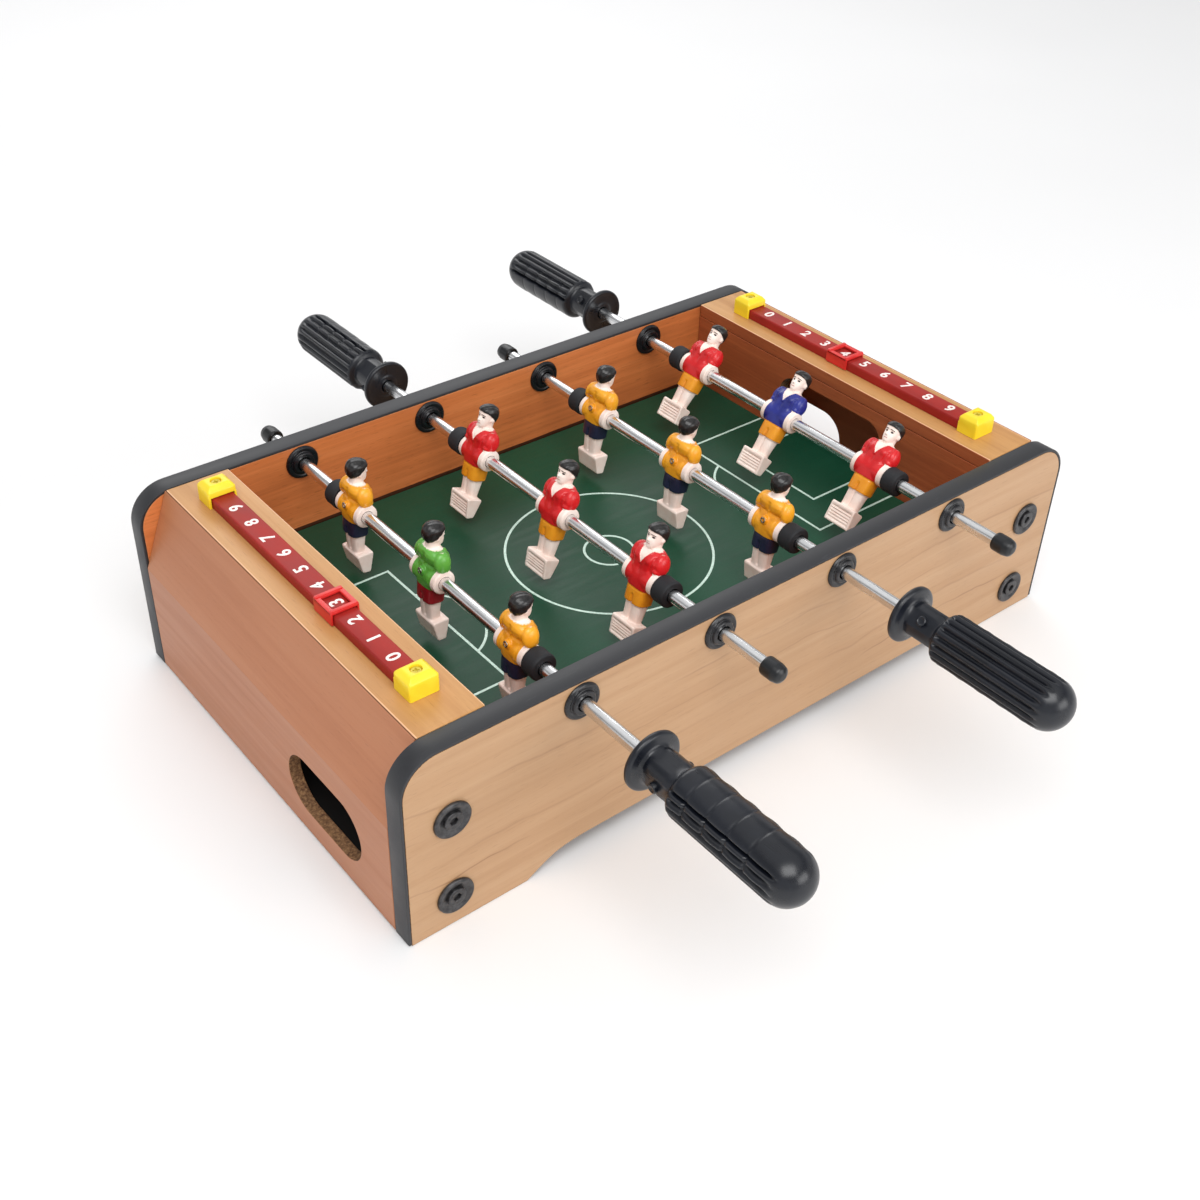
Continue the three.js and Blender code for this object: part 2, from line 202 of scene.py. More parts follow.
def fillet(pts, radii, closed=False, n=3):
    """Corners of a 2-D path rounded; radii is one number or one per point."""
    out, m = [], len(pts)
    for i, p in enumerate(pts):
        r = radii if isinstance(radii, (int, float)) else radii[i]
        if (not closed and i in (0, m - 1)) or r <= 0:
            out.append(tuple(p))
            continue
        p = Vector(p)
        a, c = Vector(pts[i - 1]) - p, Vector(pts[(i + 1) % m]) - p
        la, lc = a.length, c.length
        if la < 1e-9 or lc < 1e-9:
            out.append(tuple(p))
            continue
        a, c = a / la, c / lc
        half = math.acos(max(-1, min(1, a.dot(c)))) / 2
        t = min(r / max(math.tan(half), 1e-6), 0.48 * la, 0.48 * lc)
        for k in range(n + 1):
            s = k / n
            q = (1 - s) ** 2 * (p + a * t) + 2 * s * (1 - s) * p + s ** 2 * (p + c * t)
            out.append((q.x, q.y))
    return out


def arc(cx, cy, r, a0, a1, n):
    return [(cx + r * math.cos(math.radians(a0 + (a1 - a0) * i / n)),
             cy + r * math.sin(math.radians(a0 + (a1 - a0) * i / n))) for i in range(n + 1)]


def circle(cx, cy, r, n=48):
    return arc(cx, cy, r, 0, 360, n)[:-1]


def rect(x0, x1, y0, y1, r=0.0, n=4):
    pts = [(x0, y0), (x1, y0), (x1, y1), (x0, y1)]
    return fillet(pts, r, True, n) if r else pts


# matrices that stand a prism up: outline X,Y and height Z become the axes named
XZ_Y = Matrix(((1, 0, 0, 0), (0, 0, 1, 0), (0, 1, 0, 0), (0, 0, 0, 1)))   # outline in X,Z, height along Y
YZ_X = Matrix(((0, 0, 1, 0), (1, 0, 0, 0), (0, 1, 0, 0), (0, 0, 0, 1)))   # outline in Y,Z, height along X


# ---------------------------------------------------------------- materials
def c(r, g, b):
    """An sRGB colour of 0 to 255 as linear RGBA."""
    f = lambda v: v / 12.92 if v <= 0.04045 else ((v + 0.055) / 1.055) ** 2.4
    return (f(r / 255), f(g / 255), f(b / 255), 1.0)


class Look:
    """A Principled material and short names for its nodes."""

    def __init__(self, name):
        self.m = bpy.data.materials.new(name)
        self.m.use_nodes = True
        self.t = self.m.node_tree
        self.t.nodes.clear()
        self.out = self.t.nodes.new("ShaderNodeOutputMaterial")
        self.p = self.t.nodes.new("ShaderNodeBsdfPrincipled")
        self.t.links.new(self.p.outputs[0], self.out.inputs[0])
        self._o = self._l = None

    def node(self, kind, **kw):
        n = self.t.nodes.new("ShaderNode" + kind)
        for k, v in kw.items():
            setattr(n, k, v)
        return n

    def put(self, socket, value):
        if isinstance(value, bpy.types.NodeSocket):
            self.t.links.new(value, socket)
        else:
            socket.default_value = value

    def obj(self):
        if self._o is None:
            self._o = self.scaled(self.node("TexCoord").outputs["Object"], (1, 1, 1), (0, -SET_BACK * MM, 0))
        return self._o

    def loc(self):
        if self._l is None:
            self._l = self.node("Attribute", attribute_name="loc").outputs["Vector"]
        return self._l

    def xyz(self, v):
        n = self.node("SeparateXYZ")
        self.put(n.inputs[0], v)
        return n.outputs[0], n.outputs[1], n.outputs[2]

    def scaled(self, v, s, offset=(0, 0, 0)):
        n = self.node("Mapping")
        self.put(n.inputs["Vector"], v)
        n.inputs["Scale"].default_value = s
        n.inputs["Location"].default_value = offset
        return n.outputs[0]

    def noise(self, v, scale=1.0, detail=2.0, rough=0.5, distort=0.0):
        n = self.node("TexNoise")
        self.put(n.inputs["Vector"], v)
        n.inputs["Scale"].default_value = scale
        n.inputs["Detail"].default_value = detail
        n.inputs["Roughness"].default_value = rough
        n.inputs["Distortion"].default_value = distort
        return n.outputs["Fac"]

    def ramp(self, fac, *stops):
        n = self.node("ValToRGB")
        self.put(n.inputs[0], fac)
        e = n.color_ramp.elements
        while len(e) < len(stops):
            e.new(0.5)
        for el, (pos, col) in zip(e, stops):
            el.position = pos
            el.color = col if isinstance(col, tuple) else (col, col, col, 1)
        return n.outputs[0]

    def math(self, op, a, b=0.0, clamp=False):
        n = self.node("Math", operation=op, use_clamp=clamp)
        self.put(n.inputs[0], a)
        self.put(n.inputs[1], b)
        return n.outputs[0]

    def mix(self, fac, a, b, blend="MIX"):
        n = self.node("Mix", data_type="RGBA", blend_type=blend)
        self.put(n.inputs[0], fac)
        self.put(n.inputs[6], a)
        self.put(n.inputs[7], b)
        return n.outputs[2]

    def step(self, a, edge, width):
        """0 below edge, 1 above it, soft over width."""
        return self.math("ADD", self.math("MULTIPLY", self.math("SUBTRACT", a, edge), 1.0 / width), 0.5, True)

    def both(self, *masks):
        out = masks[0]
        for m in masks[1:]:
            out = self.math("MULTIPLY", out, m)
        return out

    def either(self, *masks):
        out = masks[0]
        for m in masks[1:]:
            out = self.math("MAXIMUM", out, m)
        return out

    def bump(self, height, strength=0.3, distance=0.0002, normal=None):
        n = self.node("Bump")
        n.inputs["Strength"].default_value = strength
        n.inputs["Distance"].default_value = distance
        self.put(n.inputs["Height"], height)
        if normal is not None:
            self.put(n.inputs["Normal"], normal)
        return n.outputs[0]

    def finish(self, color=None, rough=None, normal=None, **fixed):
        if color is not None:
            self.put(self.p.inputs["Base Color"], color)
        if rough is not None:
            self.put(self.p.inputs["Roughness"], rough)
        if normal is not None:
            self.put(self.p.inputs["Normal"], normal)
        for k, v in fixed.items():
            self.p.inputs[k.replace("_", " ")].default_value = v
        return self.m


def grain_color(k, v, axis, light, mid, dark, seed, contrast=1.0, calm=0.30):
    """Printed wood grain running along an axis: broad tone, streaks, fine lines and short pores."""
    def stretched(along, across):
        s = [across, across, across]
        s[axis] = along
        return k.scaled(v, s, (seed, seed * 1.7, seed * 0.6))
    tone = k.noise(stretched(3.5, 22), 1, 3, 0.5, 0.3)
    streak = k.noise(stretched(6, 150), 1, 4, 0.6, 0.6)
    fine = k.noise(stretched(16, 760), 1, 3, 0.6)
    pore = k.noise(stretched(190, 2300), 1, 1, 0.4)
    col = k.ramp(streak, (0.30, dark), (0.48, mid), (0.66, light))
    col = k.mix(k.ramp(tone, (0.35, 0.0), (0.65, 0.38 * contrast)), col, dark)
    col = k.mix(k.ramp(fine, (0.40, 0.42 * contrast), (0.60, 0.0)), col, dark)
    flat = k.mix(0.5, mid, light)
    col = k.mix(calm, col, flat)
    col = k.mix(k.ramp(pore, (0.66, 0.0), (0.74, 0.34 * contrast)), col, tuple(q * 0.55 for q in dark[:3]) + (1,))
    height = k.math("ADD", k.math("MULTIPLY", fine, 0.6), k.math("MULTIPLY", pore, -0.5))
    rough = k.ramp(streak, (0.3, 0.50), (0.7, 0.38))
    return col, height, rough


def raw_board(k, v):
    """Cut fibreboard: brown with small dark and light fibres."""
    a = k.noise(k.scaled(v, (900, 900, 900)), 1, 4, 0.65)
    b = k.noise(k.scaled(v, (240, 240, 240)), 1, 3, 0.6)
    col = k.ramp(a, (0.34, c(78, 50, 30)), (0.5, c(132, 94, 60)), (0.68, c(176, 136, 92)))
    return k.mix(k.ramp(b, (0.3, 0.35), (0.7, 0.0)), col, c(90, 60, 36)), a


def side_panel_look(front):
    k = Look("side_panel_laminate_front" if front else "side_panel_laminate_rear")
    v = k.obj()
    outer, h1, r1 = grain_color(k, v, 0, c(191, 154, 117), c(179, 139, 101), c(157, 114, 74), 3.1 if front else 8.7, 0.55, 0.62)
    x, y, z = k.xyz(v)
    # two long wandering veins in the print
    wander = k.noise(k.scaled(v, (14, 1, 1), (5, 0, 0)), 1, 3, 0.5)
    line = k.math("ADD", z, k.math("MULTIPLY", k.math("SUBTRACT", wander, 0.5), 0.022))
    vein = None
    for height, width, gain in ((0.0235, 0.0006, 0.55), (0.0335, 0.0009, 0.25), (0.0610, 0.0008, 0.30), (0.0480, 0.0005, 0.28)):
        d = k.math("ABSOLUTE", k.math("SUBTRACT", line, height))
        m = k.math("MULTIPLY", k.math("SUBTRACT", 1.0, k.math("DIVIDE", d, width), True), gain)
        vein = m if vein is None else k.either(vein, m)
    broken = k.ramp(k.noise(k.scaled(v, (20, 1, 60), (2, 0, 0)), 1, 2), (0.42, 0.0), (0.58, 1.0))
    outer = k.mix(k.both(vein, broken), outer, c(122, 78, 44))
    inner, h2, r2 = grain_color(k, v, 0, c(236, 146, 84), c(210, 118, 60), c(160, 80, 38), 12.3 if front else 17.9, 0.9, 0.42)
    is_out = k.step(k.math("ABSOLUTE", y), 0.0972, 0.0002)
    wavy = k.math("MULTIPLY", k.noise(k.scaled(v, (60, 1, 1), (9, 0, 0)), 1, 2), 0.0005)
    # painted shade: a dark brown strip on the inner face along the pitch's edge, for the shade in the gap between pitch
    # board and panel
    painted_gap_shade = k.both(k.math("SUBTRACT", 1.0, k.step(z, k.math("ADD", 0.0432, wavy), 0.0003)), k.step(z, 0.0405, 0.0003))
    inner = k.mix(k.math("MULTIPLY", painted_gap_shade, 0.92), inner, c(26, 16, 12))
    col = k.mix(is_out, inner, outer)
    cut, fibre = raw_board(k, v)
    nx, ny, nz = k.xyz(k.node("TexCoord").outputs["Normal"])
    edge = k.math("SUBTRACT", 1.0, k.step(k.math("ABSOLUTE", ny), 0.45, 0.1))
    col = k.mix(edge, col, cut)
    height = k.math("ADD", h1, k.math("MULTIPLY", edge, fibre))
    return k.finish(col, k.math("ADD", r1, k.math("MULTIPLY", edge, 0.35)), k.bump(height, 0.22, 0.00012))


def end_look(name, light, mid, dark, seed, axis=1, edges=None, contrast=0.9, calm=0.3):
    k = Look(name)
    v = k.obj()
    col, h, r = grain_color(k, v, axis, light, mid, dark, seed, contrast, calm)
    if edges is not None:
        # painted highlight: the laminate's folded edges along the top are painted lighter, for the light they catch
        x, y, z = k.xyz(v)
        ax = k.math("ABSOLUTE", x)
        rim = k.either(k.math("SUBTRACT", 1.0, k.step(ax, edges[0], 0.0002)), k.step(ax, edges[1], 0.0002))
        top = k.step(z, 0.0835, 0.0004)
        col = k.mix(k.math("MULTIPLY", k.both(rim, top), 0.8), col, c(238, 190, 148))
    cut, fibre = raw_board(k, v)
    rim = k.node("Attribute", attribute_name="cut").outputs["Fac"]
    col = k.mix(rim, col, cut)
    h = k.math("ADD", h, k.math("MULTIPLY", rim, fibre))
    return k.finish(col, k.math("ADD", r, k.math("MULTIPLY", rim, 0.3)), k.bump(h, 0.2, 0.0001))


def trim_look():
    k = Look("edge_trim_plastic")
    v = k.obj()
    a = k.noise(k.scaled(v, (2200, 2200, 2200)), 1, 2, 0.5)
    b = k.noise(k.scaled(v, (9, 60, 60)), 1, 4, 0.6)
    scuff = k.noise(k.scaled(v, (120, 900, 900)), 1, 3, 0.6)
    col = k.ramp(b, (0.3, c(33, 34, 37)), (0.7, c(43, 44, 48)))
    col = k.mix(k.ramp(scuff, (0.62, 0.0), (0.78, 0.35)), col, c(70, 71, 75))
    return k.finish(col, k.ramp(b, (0.3, 0.42), (0.7, 0.56)), k.bump(a, 0.18, 0.00006))


def field_look():
    k = Look("pitch_print")
    v = k.obj()
    big = k.noise(k.scaled(v, (9, 9, 9)), 1, 3, 0.5)
    dots = k.noise(k.scaled(v, (1500, 1500, 1500)), 1, 2, 0.5)
    streak = k.noise(k.scaled(v, (40, 420, 100)), 1, 3, 0.55)
    col = k.ramp(big, (0.3, c(18, 64, 44)), (0.7, c(24, 80, 56)))
    col = k.mix(k.ramp(dots, (0.35, 0.22), (0.65, 0.0)), col, c(12, 46, 32))
    col = k.mix(k.ramp(streak, (0.5, 0.0), (0.8, 0.16)), col, c(40, 98, 74))
    x, y, z = k.xyz(v)
    cut, fibre = raw_board(k, v)
    side = k.math("SUBTRACT", 1.0, k.step(z, 0.0421, 0.0002))
    col = k.mix(side, col, cut)
    rough = k.ramp(streak, (0.3, 0.40), (0.7, 0.50))
    return k.finish(col, rough, k.bump(dots, 0.12, 0.00005), Specular_IOR_Level=0.3)


def ink_look(name, a, b, rough):
    k = Look(name)
    v = k.obj()
    n = k.noise(k.scaled(v, (1300, 1300, 1300)), 1, 3, 0.6)
    col = k.ramp(n, (0.32, a), (0.62, b))
    return k.finish(col, k.ramp(n, (0.3, rough + 0.08), (0.7, rough - 0.04)), k.bump(n, 0.1, 0.00003))


def plastic_look(name, base, shade, rough=0.32, grain=0.12, dust=None, spec=0.5):
    """Moulded plastic: faint flow marks, fine pebbling, and a little wear where a hand rubs it."""
    k = Look(name)
    v = k.loc()
    flow = k.noise(k.scaled(v, (0.10, 0.04, 0.10)), 1, 3, 0.5, 0.4)
    peb = k.noise(k.scaled(v, (3.2, 3.2, 3.2)), 1, 2, 0.5)
    scr = k.noise(k.scaled(v, (2.5, 0.12, 2.5)), 1, 4, 0.65)
    col = k.ramp(flow, (0.32, shade), (0.68, base))
    if dust is not None:
        col = k.mix(k.ramp(scr, (0.60, 0.0), (0.80, 0.30)), col, dust)
    r = k.math("ADD", k.ramp(flow, (0.3, rough - 0.05), (0.7, rough + 0.05)), k.math("MULTIPLY", scr, 0.10))
    return k.finish(col, r, k.bump(k.math("ADD", peb, k.math("MULTIPLY", scr, 0.5)), grain, 0.00006), Specular_IOR_Level=spec)


def steel_look():
    k = Look("rod_chrome")
    v = k.loc()
    lines = k.noise(k.scaled(v, (5.5, 0.05, 5.5)), 1, 4, 0.6)
    rub = k.noise(k.scaled(v, (0.4, 0.06, 0.4)), 1, 3, 0.6)
    col = k.ramp(rub, (0.3, c(214, 215, 216)), (0.7, c(240, 241, 242)))
    col = k.mix(k.ramp(lines, (0.58, 0.0), (0.75, 0.35)), col, c(150, 150, 150))
    return k.finish(col, k.ramp(rub, (0.3, 0.20), (0.7, 0.29)), k.bump(lines, 0.06, 0.00003), Metallic=1.0)


def dark_metal_look():
    k = Look("bolt_burnished")
    v = k.loc()
    n = k.noise(k.scaled(v, (0.5, 0.5, 0.5)), 1, 4, 0.6)
    s = k.noise(k.scaled(v, (3, 3, 3)), 1, 2, 0.5)
    col = k.ramp(n, (0.3, c(52, 52, 54)), (0.7, c(88, 87, 88)))
    return k.finish(col, k.ramp(n, (0.3, 0.30), (0.7, 0.46)), k.bump(s, 0.1, 0.00004), Metallic=0.75)


CREAM, CREAM_LOW = c(255, 240, 230), c(246, 221, 208)


def figure_look(name, shirt, shirt_low, shorts, shorts_low):
    """A painted figure: cream plastic with shirt, shorts, hair and face painted on, split by the figure's own coordinates."""
    k = Look(name)
    v = k.loc()
    x, y, z = k.xyz(v)
    ay = k.math("ABSOLUTE", y)
    wob = k.math("MULTIPLY", k.math("SUBTRACT", k.noise(k.scaled(v, (0.9, 0.9, 0.9)), 1, 2), 0.5), 0.5)
    zw = k.math("ADD", z, wob)
    tone = k.noise(k.scaled(v, (0.16, 0.16, 0.16)), 1, 3, 0.5)
    cream = k.ramp(tone, (0.3, CREAM_LOW), (0.65, CREAM))
    col = cream
    # shorts, between the shirt's hem and the knees
    low = k.both(k.step(zw, -11.3, 0.25), k.math("SUBTRACT", 1.0, k.step(z, -4.2, 0.2)),
                 k.math("SUBTRACT", 1.0, k.step(ay, 6.2, 0.1)))
    col = k.mix(low, col, k.ramp(tone, (0.3, shorts_low), (0.7, shorts)))
    # shirt, without the hub's ends and the open collar
    neck_front = k.both(k.step(x, 0.2, 0.2), k.step(k.math("SUBTRACT", zw, k.math("MULTIPLY", ay, 1.9)), 6.8, 0.25))
    neck_back = k.step(zw, 12.4, 0.2)
    hub_end = k.both(k.step(ay, 6.3, 0.1), k.math("SUBTRACT", 1.0, k.step(zw, 4.75, 0.15)))
    body = k.both(k.step(zw, -4.35, 0.2), k.math("SUBTRACT", 1.0, k.either(neck_front, neck_back)),
                  k.math("SUBTRACT", 1.0, hub_end))
    col = k.mix(body, col, k.ramp(tone, (0.3, shirt_low), (0.7, shirt)))
    # hair: a cap whose edge drops from the forehead past the temple to the nape
    xs = k.math("MULTIPLY", k.math("ADD", x, 6.0), 1 / 12.0)
    edge = k.ramp(xs, *[((px + 6.0) / 12.0, pz / 25) for px, pz in HAIR])
    hair = k.step(k.math("SUBTRACT", zw, k.math("MULTIPLY", edge, 25.0)), 0.0, 0.2)
    col = k.mix(hair, col, k.ramp(k.noise(k.scaled(v, (2.2, 0.8, 2.2)), 1, 3), (0.35, c(14, 14, 15)), (0.65, c(38, 36, 36))))
    # eyes, brows, mouth
    front = k.step(x, 2.2, 0.3)
    dy = k.math("SUBTRACT", ay, 1.45)
    eye = k.math("SQRT", k.math("ADD", k.math("POWER", k.math("MULTIPLY", dy, 1.35), 2.0),
                                k.math("POWER", k.math("MULTIPLY", k.math("SUBTRACT", z, 17.75), 2.1), 2.0)))
    eye = k.math("SUBTRACT", 1.0, k.step(eye, 0.85, 0.2))
    brow = k.both(k.math("SUBTRACT", 1.0, k.step(k.math("ABSOLUTE", k.math("SUBTRACT", z, k.math("SUBTRACT", 18.75, k.math("MULTIPLY", dy, 0.12)))), 0.20, 0.1)),
                  k.math("SUBTRACT", 1.0, k.step(k.math("ABSOLUTE", dy), 0.95, 0.15)))
    mouth = k.both(k.math("SUBTRACT", 1.0, k.step(k.math("ABSOLUTE", k.math("SUBTRACT", z, 14.85)), 0.17, 0.1)),
                   k.math("SUBTRACT", 1.0, k.step(ay, 0.95, 0.15)))
    col = k.mix(k.both(eye, front), col, c(40, 30, 28))
    col = k.mix(k.math("MULTIPLY", k.both(brow, front), 0.85), col, c(58, 42, 36))
    col = k.mix(k.math("MULTIPLY", k.both(mouth, front), 0.75), col, c(196, 96, 84))
    peb = k.noise(k.scaled(v, (2.4, 2.4, 2.4)), 1, 3, 0.5)
    painted = k.either(low, body, hair)
    rough = k.math("SUBTRACT", k.math("ADD", 0.40, k.math("MULTIPLY", peb, 0.12)), k.math("MULTIPLY", painted, 0.16))
    height = k.math("ADD", k.math("MULTIPLY", painted, 0.8), k.math("MULTIPLY", peb, 0.25))
    return k.finish(col, rough, k.bump(height, 0.25, 0.00012))


M = {
    "panel_front": side_panel_look(True),
    "panel_rear": side_panel_look(False),
    # painted light: the shelf is the end board's laminate in lighter colours, for the light falling on its upward face
    "shelf": end_look("end_shelf_laminate", c(206, 156, 98), c(192, 140, 82), c(166, 111, 60), 21.3, 1, (0.1320, 0.1587), contrast=0.7, calm=0.5),
    "casing": end_look("end_board_laminate", c(187, 124, 84), c(177, 112, 74), c(157, 93, 58), 27.7, 1, (0.0, 0.1724), contrast=0.5, calm=0.6),
    "wall": end_look("goal_wall_laminate", c(194, 108, 63), c(169, 87, 49), c(129, 60, 30), 33.1, 1, contrast=0.9, calm=0.4),
    "trim": trim_look(),
    "field": field_look(),
    "lines": ink_look("pitch_line_ink", c(184, 216, 200), c(216, 242, 230), 0.45),
    "digits": ink_look("numeral_ink", c(232, 214, 208), c(252, 244, 240), 0.40),
    "rail": plastic_look("score_rail_plastic", c(166, 36, 28), c(146, 27, 22), 0.46, 0.12, c(178, 66, 56), 0.3),
    "slider": plastic_look("score_slider_plastic", c(224, 48, 44), c(204, 36, 34), 0.30, 0.10, c(236, 120, 112)),
    "block": plastic_look("score_block_plastic", c(252, 226, 52), c(244, 210, 34), 0.34, 0.10, c(255, 240, 130)),
    "steel": steel_look(),
    "grip": plastic_look("grip_plastic", c(19, 23, 32), c(12, 15, 22), 0.25, 0.14, c(44, 50, 62)),
    "cap": plastic_look("rod_cap_plastic", c(17, 20, 24), c(11, 13, 16), 0.28, 0.14, c(44, 48, 54)),
    "bush": plastic_look("bushing_plastic", c(24, 24, 29), c(13, 13, 17), 0.24, 0.08, c(56, 57, 64)),
    "rubber": plastic_look("bumper_rubber", c(31, 33, 37), c(22, 23, 27), 0.66, 0.30, c(56, 59, 64)),
    "bolt": dark_metal_look(),
    "screw": None,
}


def screw_look():
    k = Look("small_screw_zinc")
    v = k.loc()
    n = k.noise(k.scaled(v, (2, 2, 2)), 1, 3, 0.5)
    return k.finish(k.ramp(n, (0.3, c(150, 148, 140)), (0.7, c(206, 204, 196))), k.ramp(n, (0.3, 0.25), (0.7, 0.42)), k.bump(n, 0.1, 0.00003), Metallic=1.0)


M["screw"] = screw_look()
M["box_floor"] = plastic_look("ball_box_floor_black", c(15, 13, 12), c(10, 9, 8), 0.75, 0.30, c(26, 23, 20), 0.2)
M["block_screw"] = plastic_look("block_screw_brass", c(222, 204, 76), c(192, 172, 50), 0.40, 0.20, c(238, 226, 130))
SHIRTS = {
    "yellow": figure_look("figure_paint_yellow", c(248, 176, 44), c(232, 148, 22), c(36, 40, 66), c(24, 26, 46)),
    "red": figure_look("figure_paint_red", c(222, 34, 38), c(196, 22, 28), c(244, 164, 40), c(228, 138, 24)),
    "green": figure_look("figure_paint_green", c(104, 178, 70), c(74, 146, 50), c(150, 26, 34), c(120, 16, 26)),
    "blue": figure_look("figure_paint_blue", c(44, 54, 150), c(30, 36, 112), c(244, 164, 40), c(228, 138, 24)),
}

# -------------------------------------------------------------- side panels
def bez(p0, p1, p2, p3, n):
    out = []
    for i in range(1, n + 1):
        t = i / n
        out.append(tuple((1 - t) ** 3 * p0[k] + 3 * (1 - t) ** 2 * t * p1[k] + 3 * (1 - t) * t * t * p2[k] + t ** 3 * p3[k] for k in (0, 1)))
    return out


def top_outline(inset, n=18):
    x, z, r = HALF_L - inset, CAB_H - inset, CORNER_R - inset
    return arc(x - r, z - r, r, 0, 90, n) + arc(-x + r, z - r, r, 90, 180, n)


side_in = TRIM_T + 0.1
foot = bez((-121.0, 0.0), (-117.5, 2.1), (-113.0, 5.0), (-108.5, 6.6), 8) + bez((-108.5, 6.6), (-104.5, 7.9), (-99.5, 8.6), (-93.0, 8.6), 8)
panel_outline = [(HALF_L - side_in, 0.0)] + top_outline(side_in) + [(-HALF_L + side_in, 0.0), (-121.0, 0.0)]
panel_outline += foot + [(-x, z) for x, z in reversed(foot)] + [(121.0, 0.0)]
trim_outline = [(HALF_L, 0.6)] + top_outline(0) + [(-HALF_L, 0.6), (-HALF_L + TRIM_T, 0.6)] + list(reversed(top_outline(TRIM_T))) + [(HALF_L - TRIM_T, 0.6)]

for side, s in (("front", -1), ("rear", 1)):
    y0, y1 = (-Y_OUT, -Y_IN) if s < 0 else (Y_IN, Y_OUT)
    holes = [circle(x, ROD_Z, 5.9, 28) for x in ROD_X]
    build(f"panel_{side}", *moved(prism([panel_outline] + holes, y0, y1, 0.22), XZ_Y), mats=[M["panel_" + side]],
          angle=10, slot="maple_laminate", stands_for=[f"side_panel_{side}"])
    build(f"trim_{side}", *moved(prism([trim_outline], y0, y1, 0.3), XZ_Y), mats=[M["trim"]],
          slot="edge_trim", stands_for=[f"edge_trim_{side}"])

# ------------------------------------------------------------------- pitch
# the board has a tongue into each goal opening, so a ball runs over it and drops behind the wall
px, py, tx, ty = WALL_X - 0.3, INNER_Y - 0.9, WALL_X + WALL_T - 0.3, GOAL_HALF - 0.3
pitch_outline = [(-px, -py), (px, -py), (px, -ty), (tx, -ty), (tx, ty), (px, ty), (px, py), (-px, py), (-px, ty), (-tx, ty), (-tx, -ty), (-px, -ty)]
build("pitch_board", *prism([pitch_outline], FIELD_TOP - 4, FIELD_TOP, 0.2, 2),
      mats=[M["field"]], angle=10, slot="pitch", stands_for=["play_field"])

PX, PY, LW = -2.3, -1.3, 0.55      # middle of the print, half a line's width


def box_line(x, half, sx):
    a = WALL_X - 0.6
    out = [(a, half + LW), (x - LW, half + LW), (x - LW, -half - LW), (a, -half - LW), (a, -half + LW), (x + LW, -half + LW), (x + LW, half - LW), (a, half - LW)]
    return [(sx * u + (PX if abs(u) < 110 else 0), v + PY) for u, v in out]


def band(cx, cy, r, a0, a1, n):
    return arc(cx, cy, r + LW, a0, a1, n) + list(reversed(arc(cx, cy, r - LW, a0, a1, n)))


marks = []
z0, z1 = FIELD_TOP - 0.05, FIELD_TOP + 0.06
for sx in (-1, 1):
    marks.append(prism([box_line(85.7, 44.0, sx)], z0, z1))
    marks.append(prism([box_line(101.5 if sx > 0 else 106.0, 24.5, sx)], z0, z1))
    half = math.degrees(math.acos((96.5 - 85.7 + LW * 0.4) / 25.5))
    mid = 180 if sx > 0 else 0
    marks.append(prism([band(PX + sx * 96.5, PY, 25.5, mid - half, mid + half, 24)], z0, z1 - 0.01))
marks.append(prism([circle(PX, PY, 45.5 + LW, 96), circle(PX, PY, 45.5 - LW, 96)], z0, z1))
marks.append(prism([circle(PX, PY, 11.0 + LW, 48), circle(PX, PY, 11.0 - LW, 48)], z0, z1))
build("pitch_lines", *join(*marks), mats=[M["lines"]])

# --------------------------------------------------------------- goal ends
slope_x, slope_z = HALF_L - SHELF_X, CAB_H - CREASE_Z
slope_len = math.hypot(slope_x, slope_z)
snx, snz = slope_z / slope_len, slope_x / slope_len


def inner_x(z):
    return SHELF_X - CASING_T * snx + (CAB_H - CASING_T * snz - z) * slope_x / slope_z


mitre_x = inner_x(SHELF_BOTTOM)
casing_in = HALF_L - CASING_T
goal_outline = [(-GOAL_HALF, 38.0), (GOAL_HALF, 38.0)] + arc(GOAL_HALF - GOAL_R, GOAL_TOP - GOAL_R, GOAL_R, 0, 90, 14) \
    + arc(-GOAL_HALF + GOAL_R, GOAL_TOP - GOAL_R, GOAL_R, 90, 180, 14)
slot_outline = arc(RET_Y + RET_W / 2 - RET_R, RET_Z, RET_R, -90, 90, 28) + arc(RET_Y - RET_W / 2 + RET_R, RET_Z, RET_R, 90, 270, 28)


def mark_cut(ob, test):
    """Vertices on sawn faces, for the raw board colour. Faces that are sawn have all their corners marked."""
    me = ob.data
    a = me.attributes.new("cut", "FLOAT", "CORNER")
    vals = np.zeros(len(me.loops), np.float32)
    for p in me.polygons:
        if test(p.center / MM - Vector((0, SET_BACK, 0)), p.normal):
            for li in p.loop_indices:
                vals[li] = 1.0
    a.data.foreach_set("value", vals)


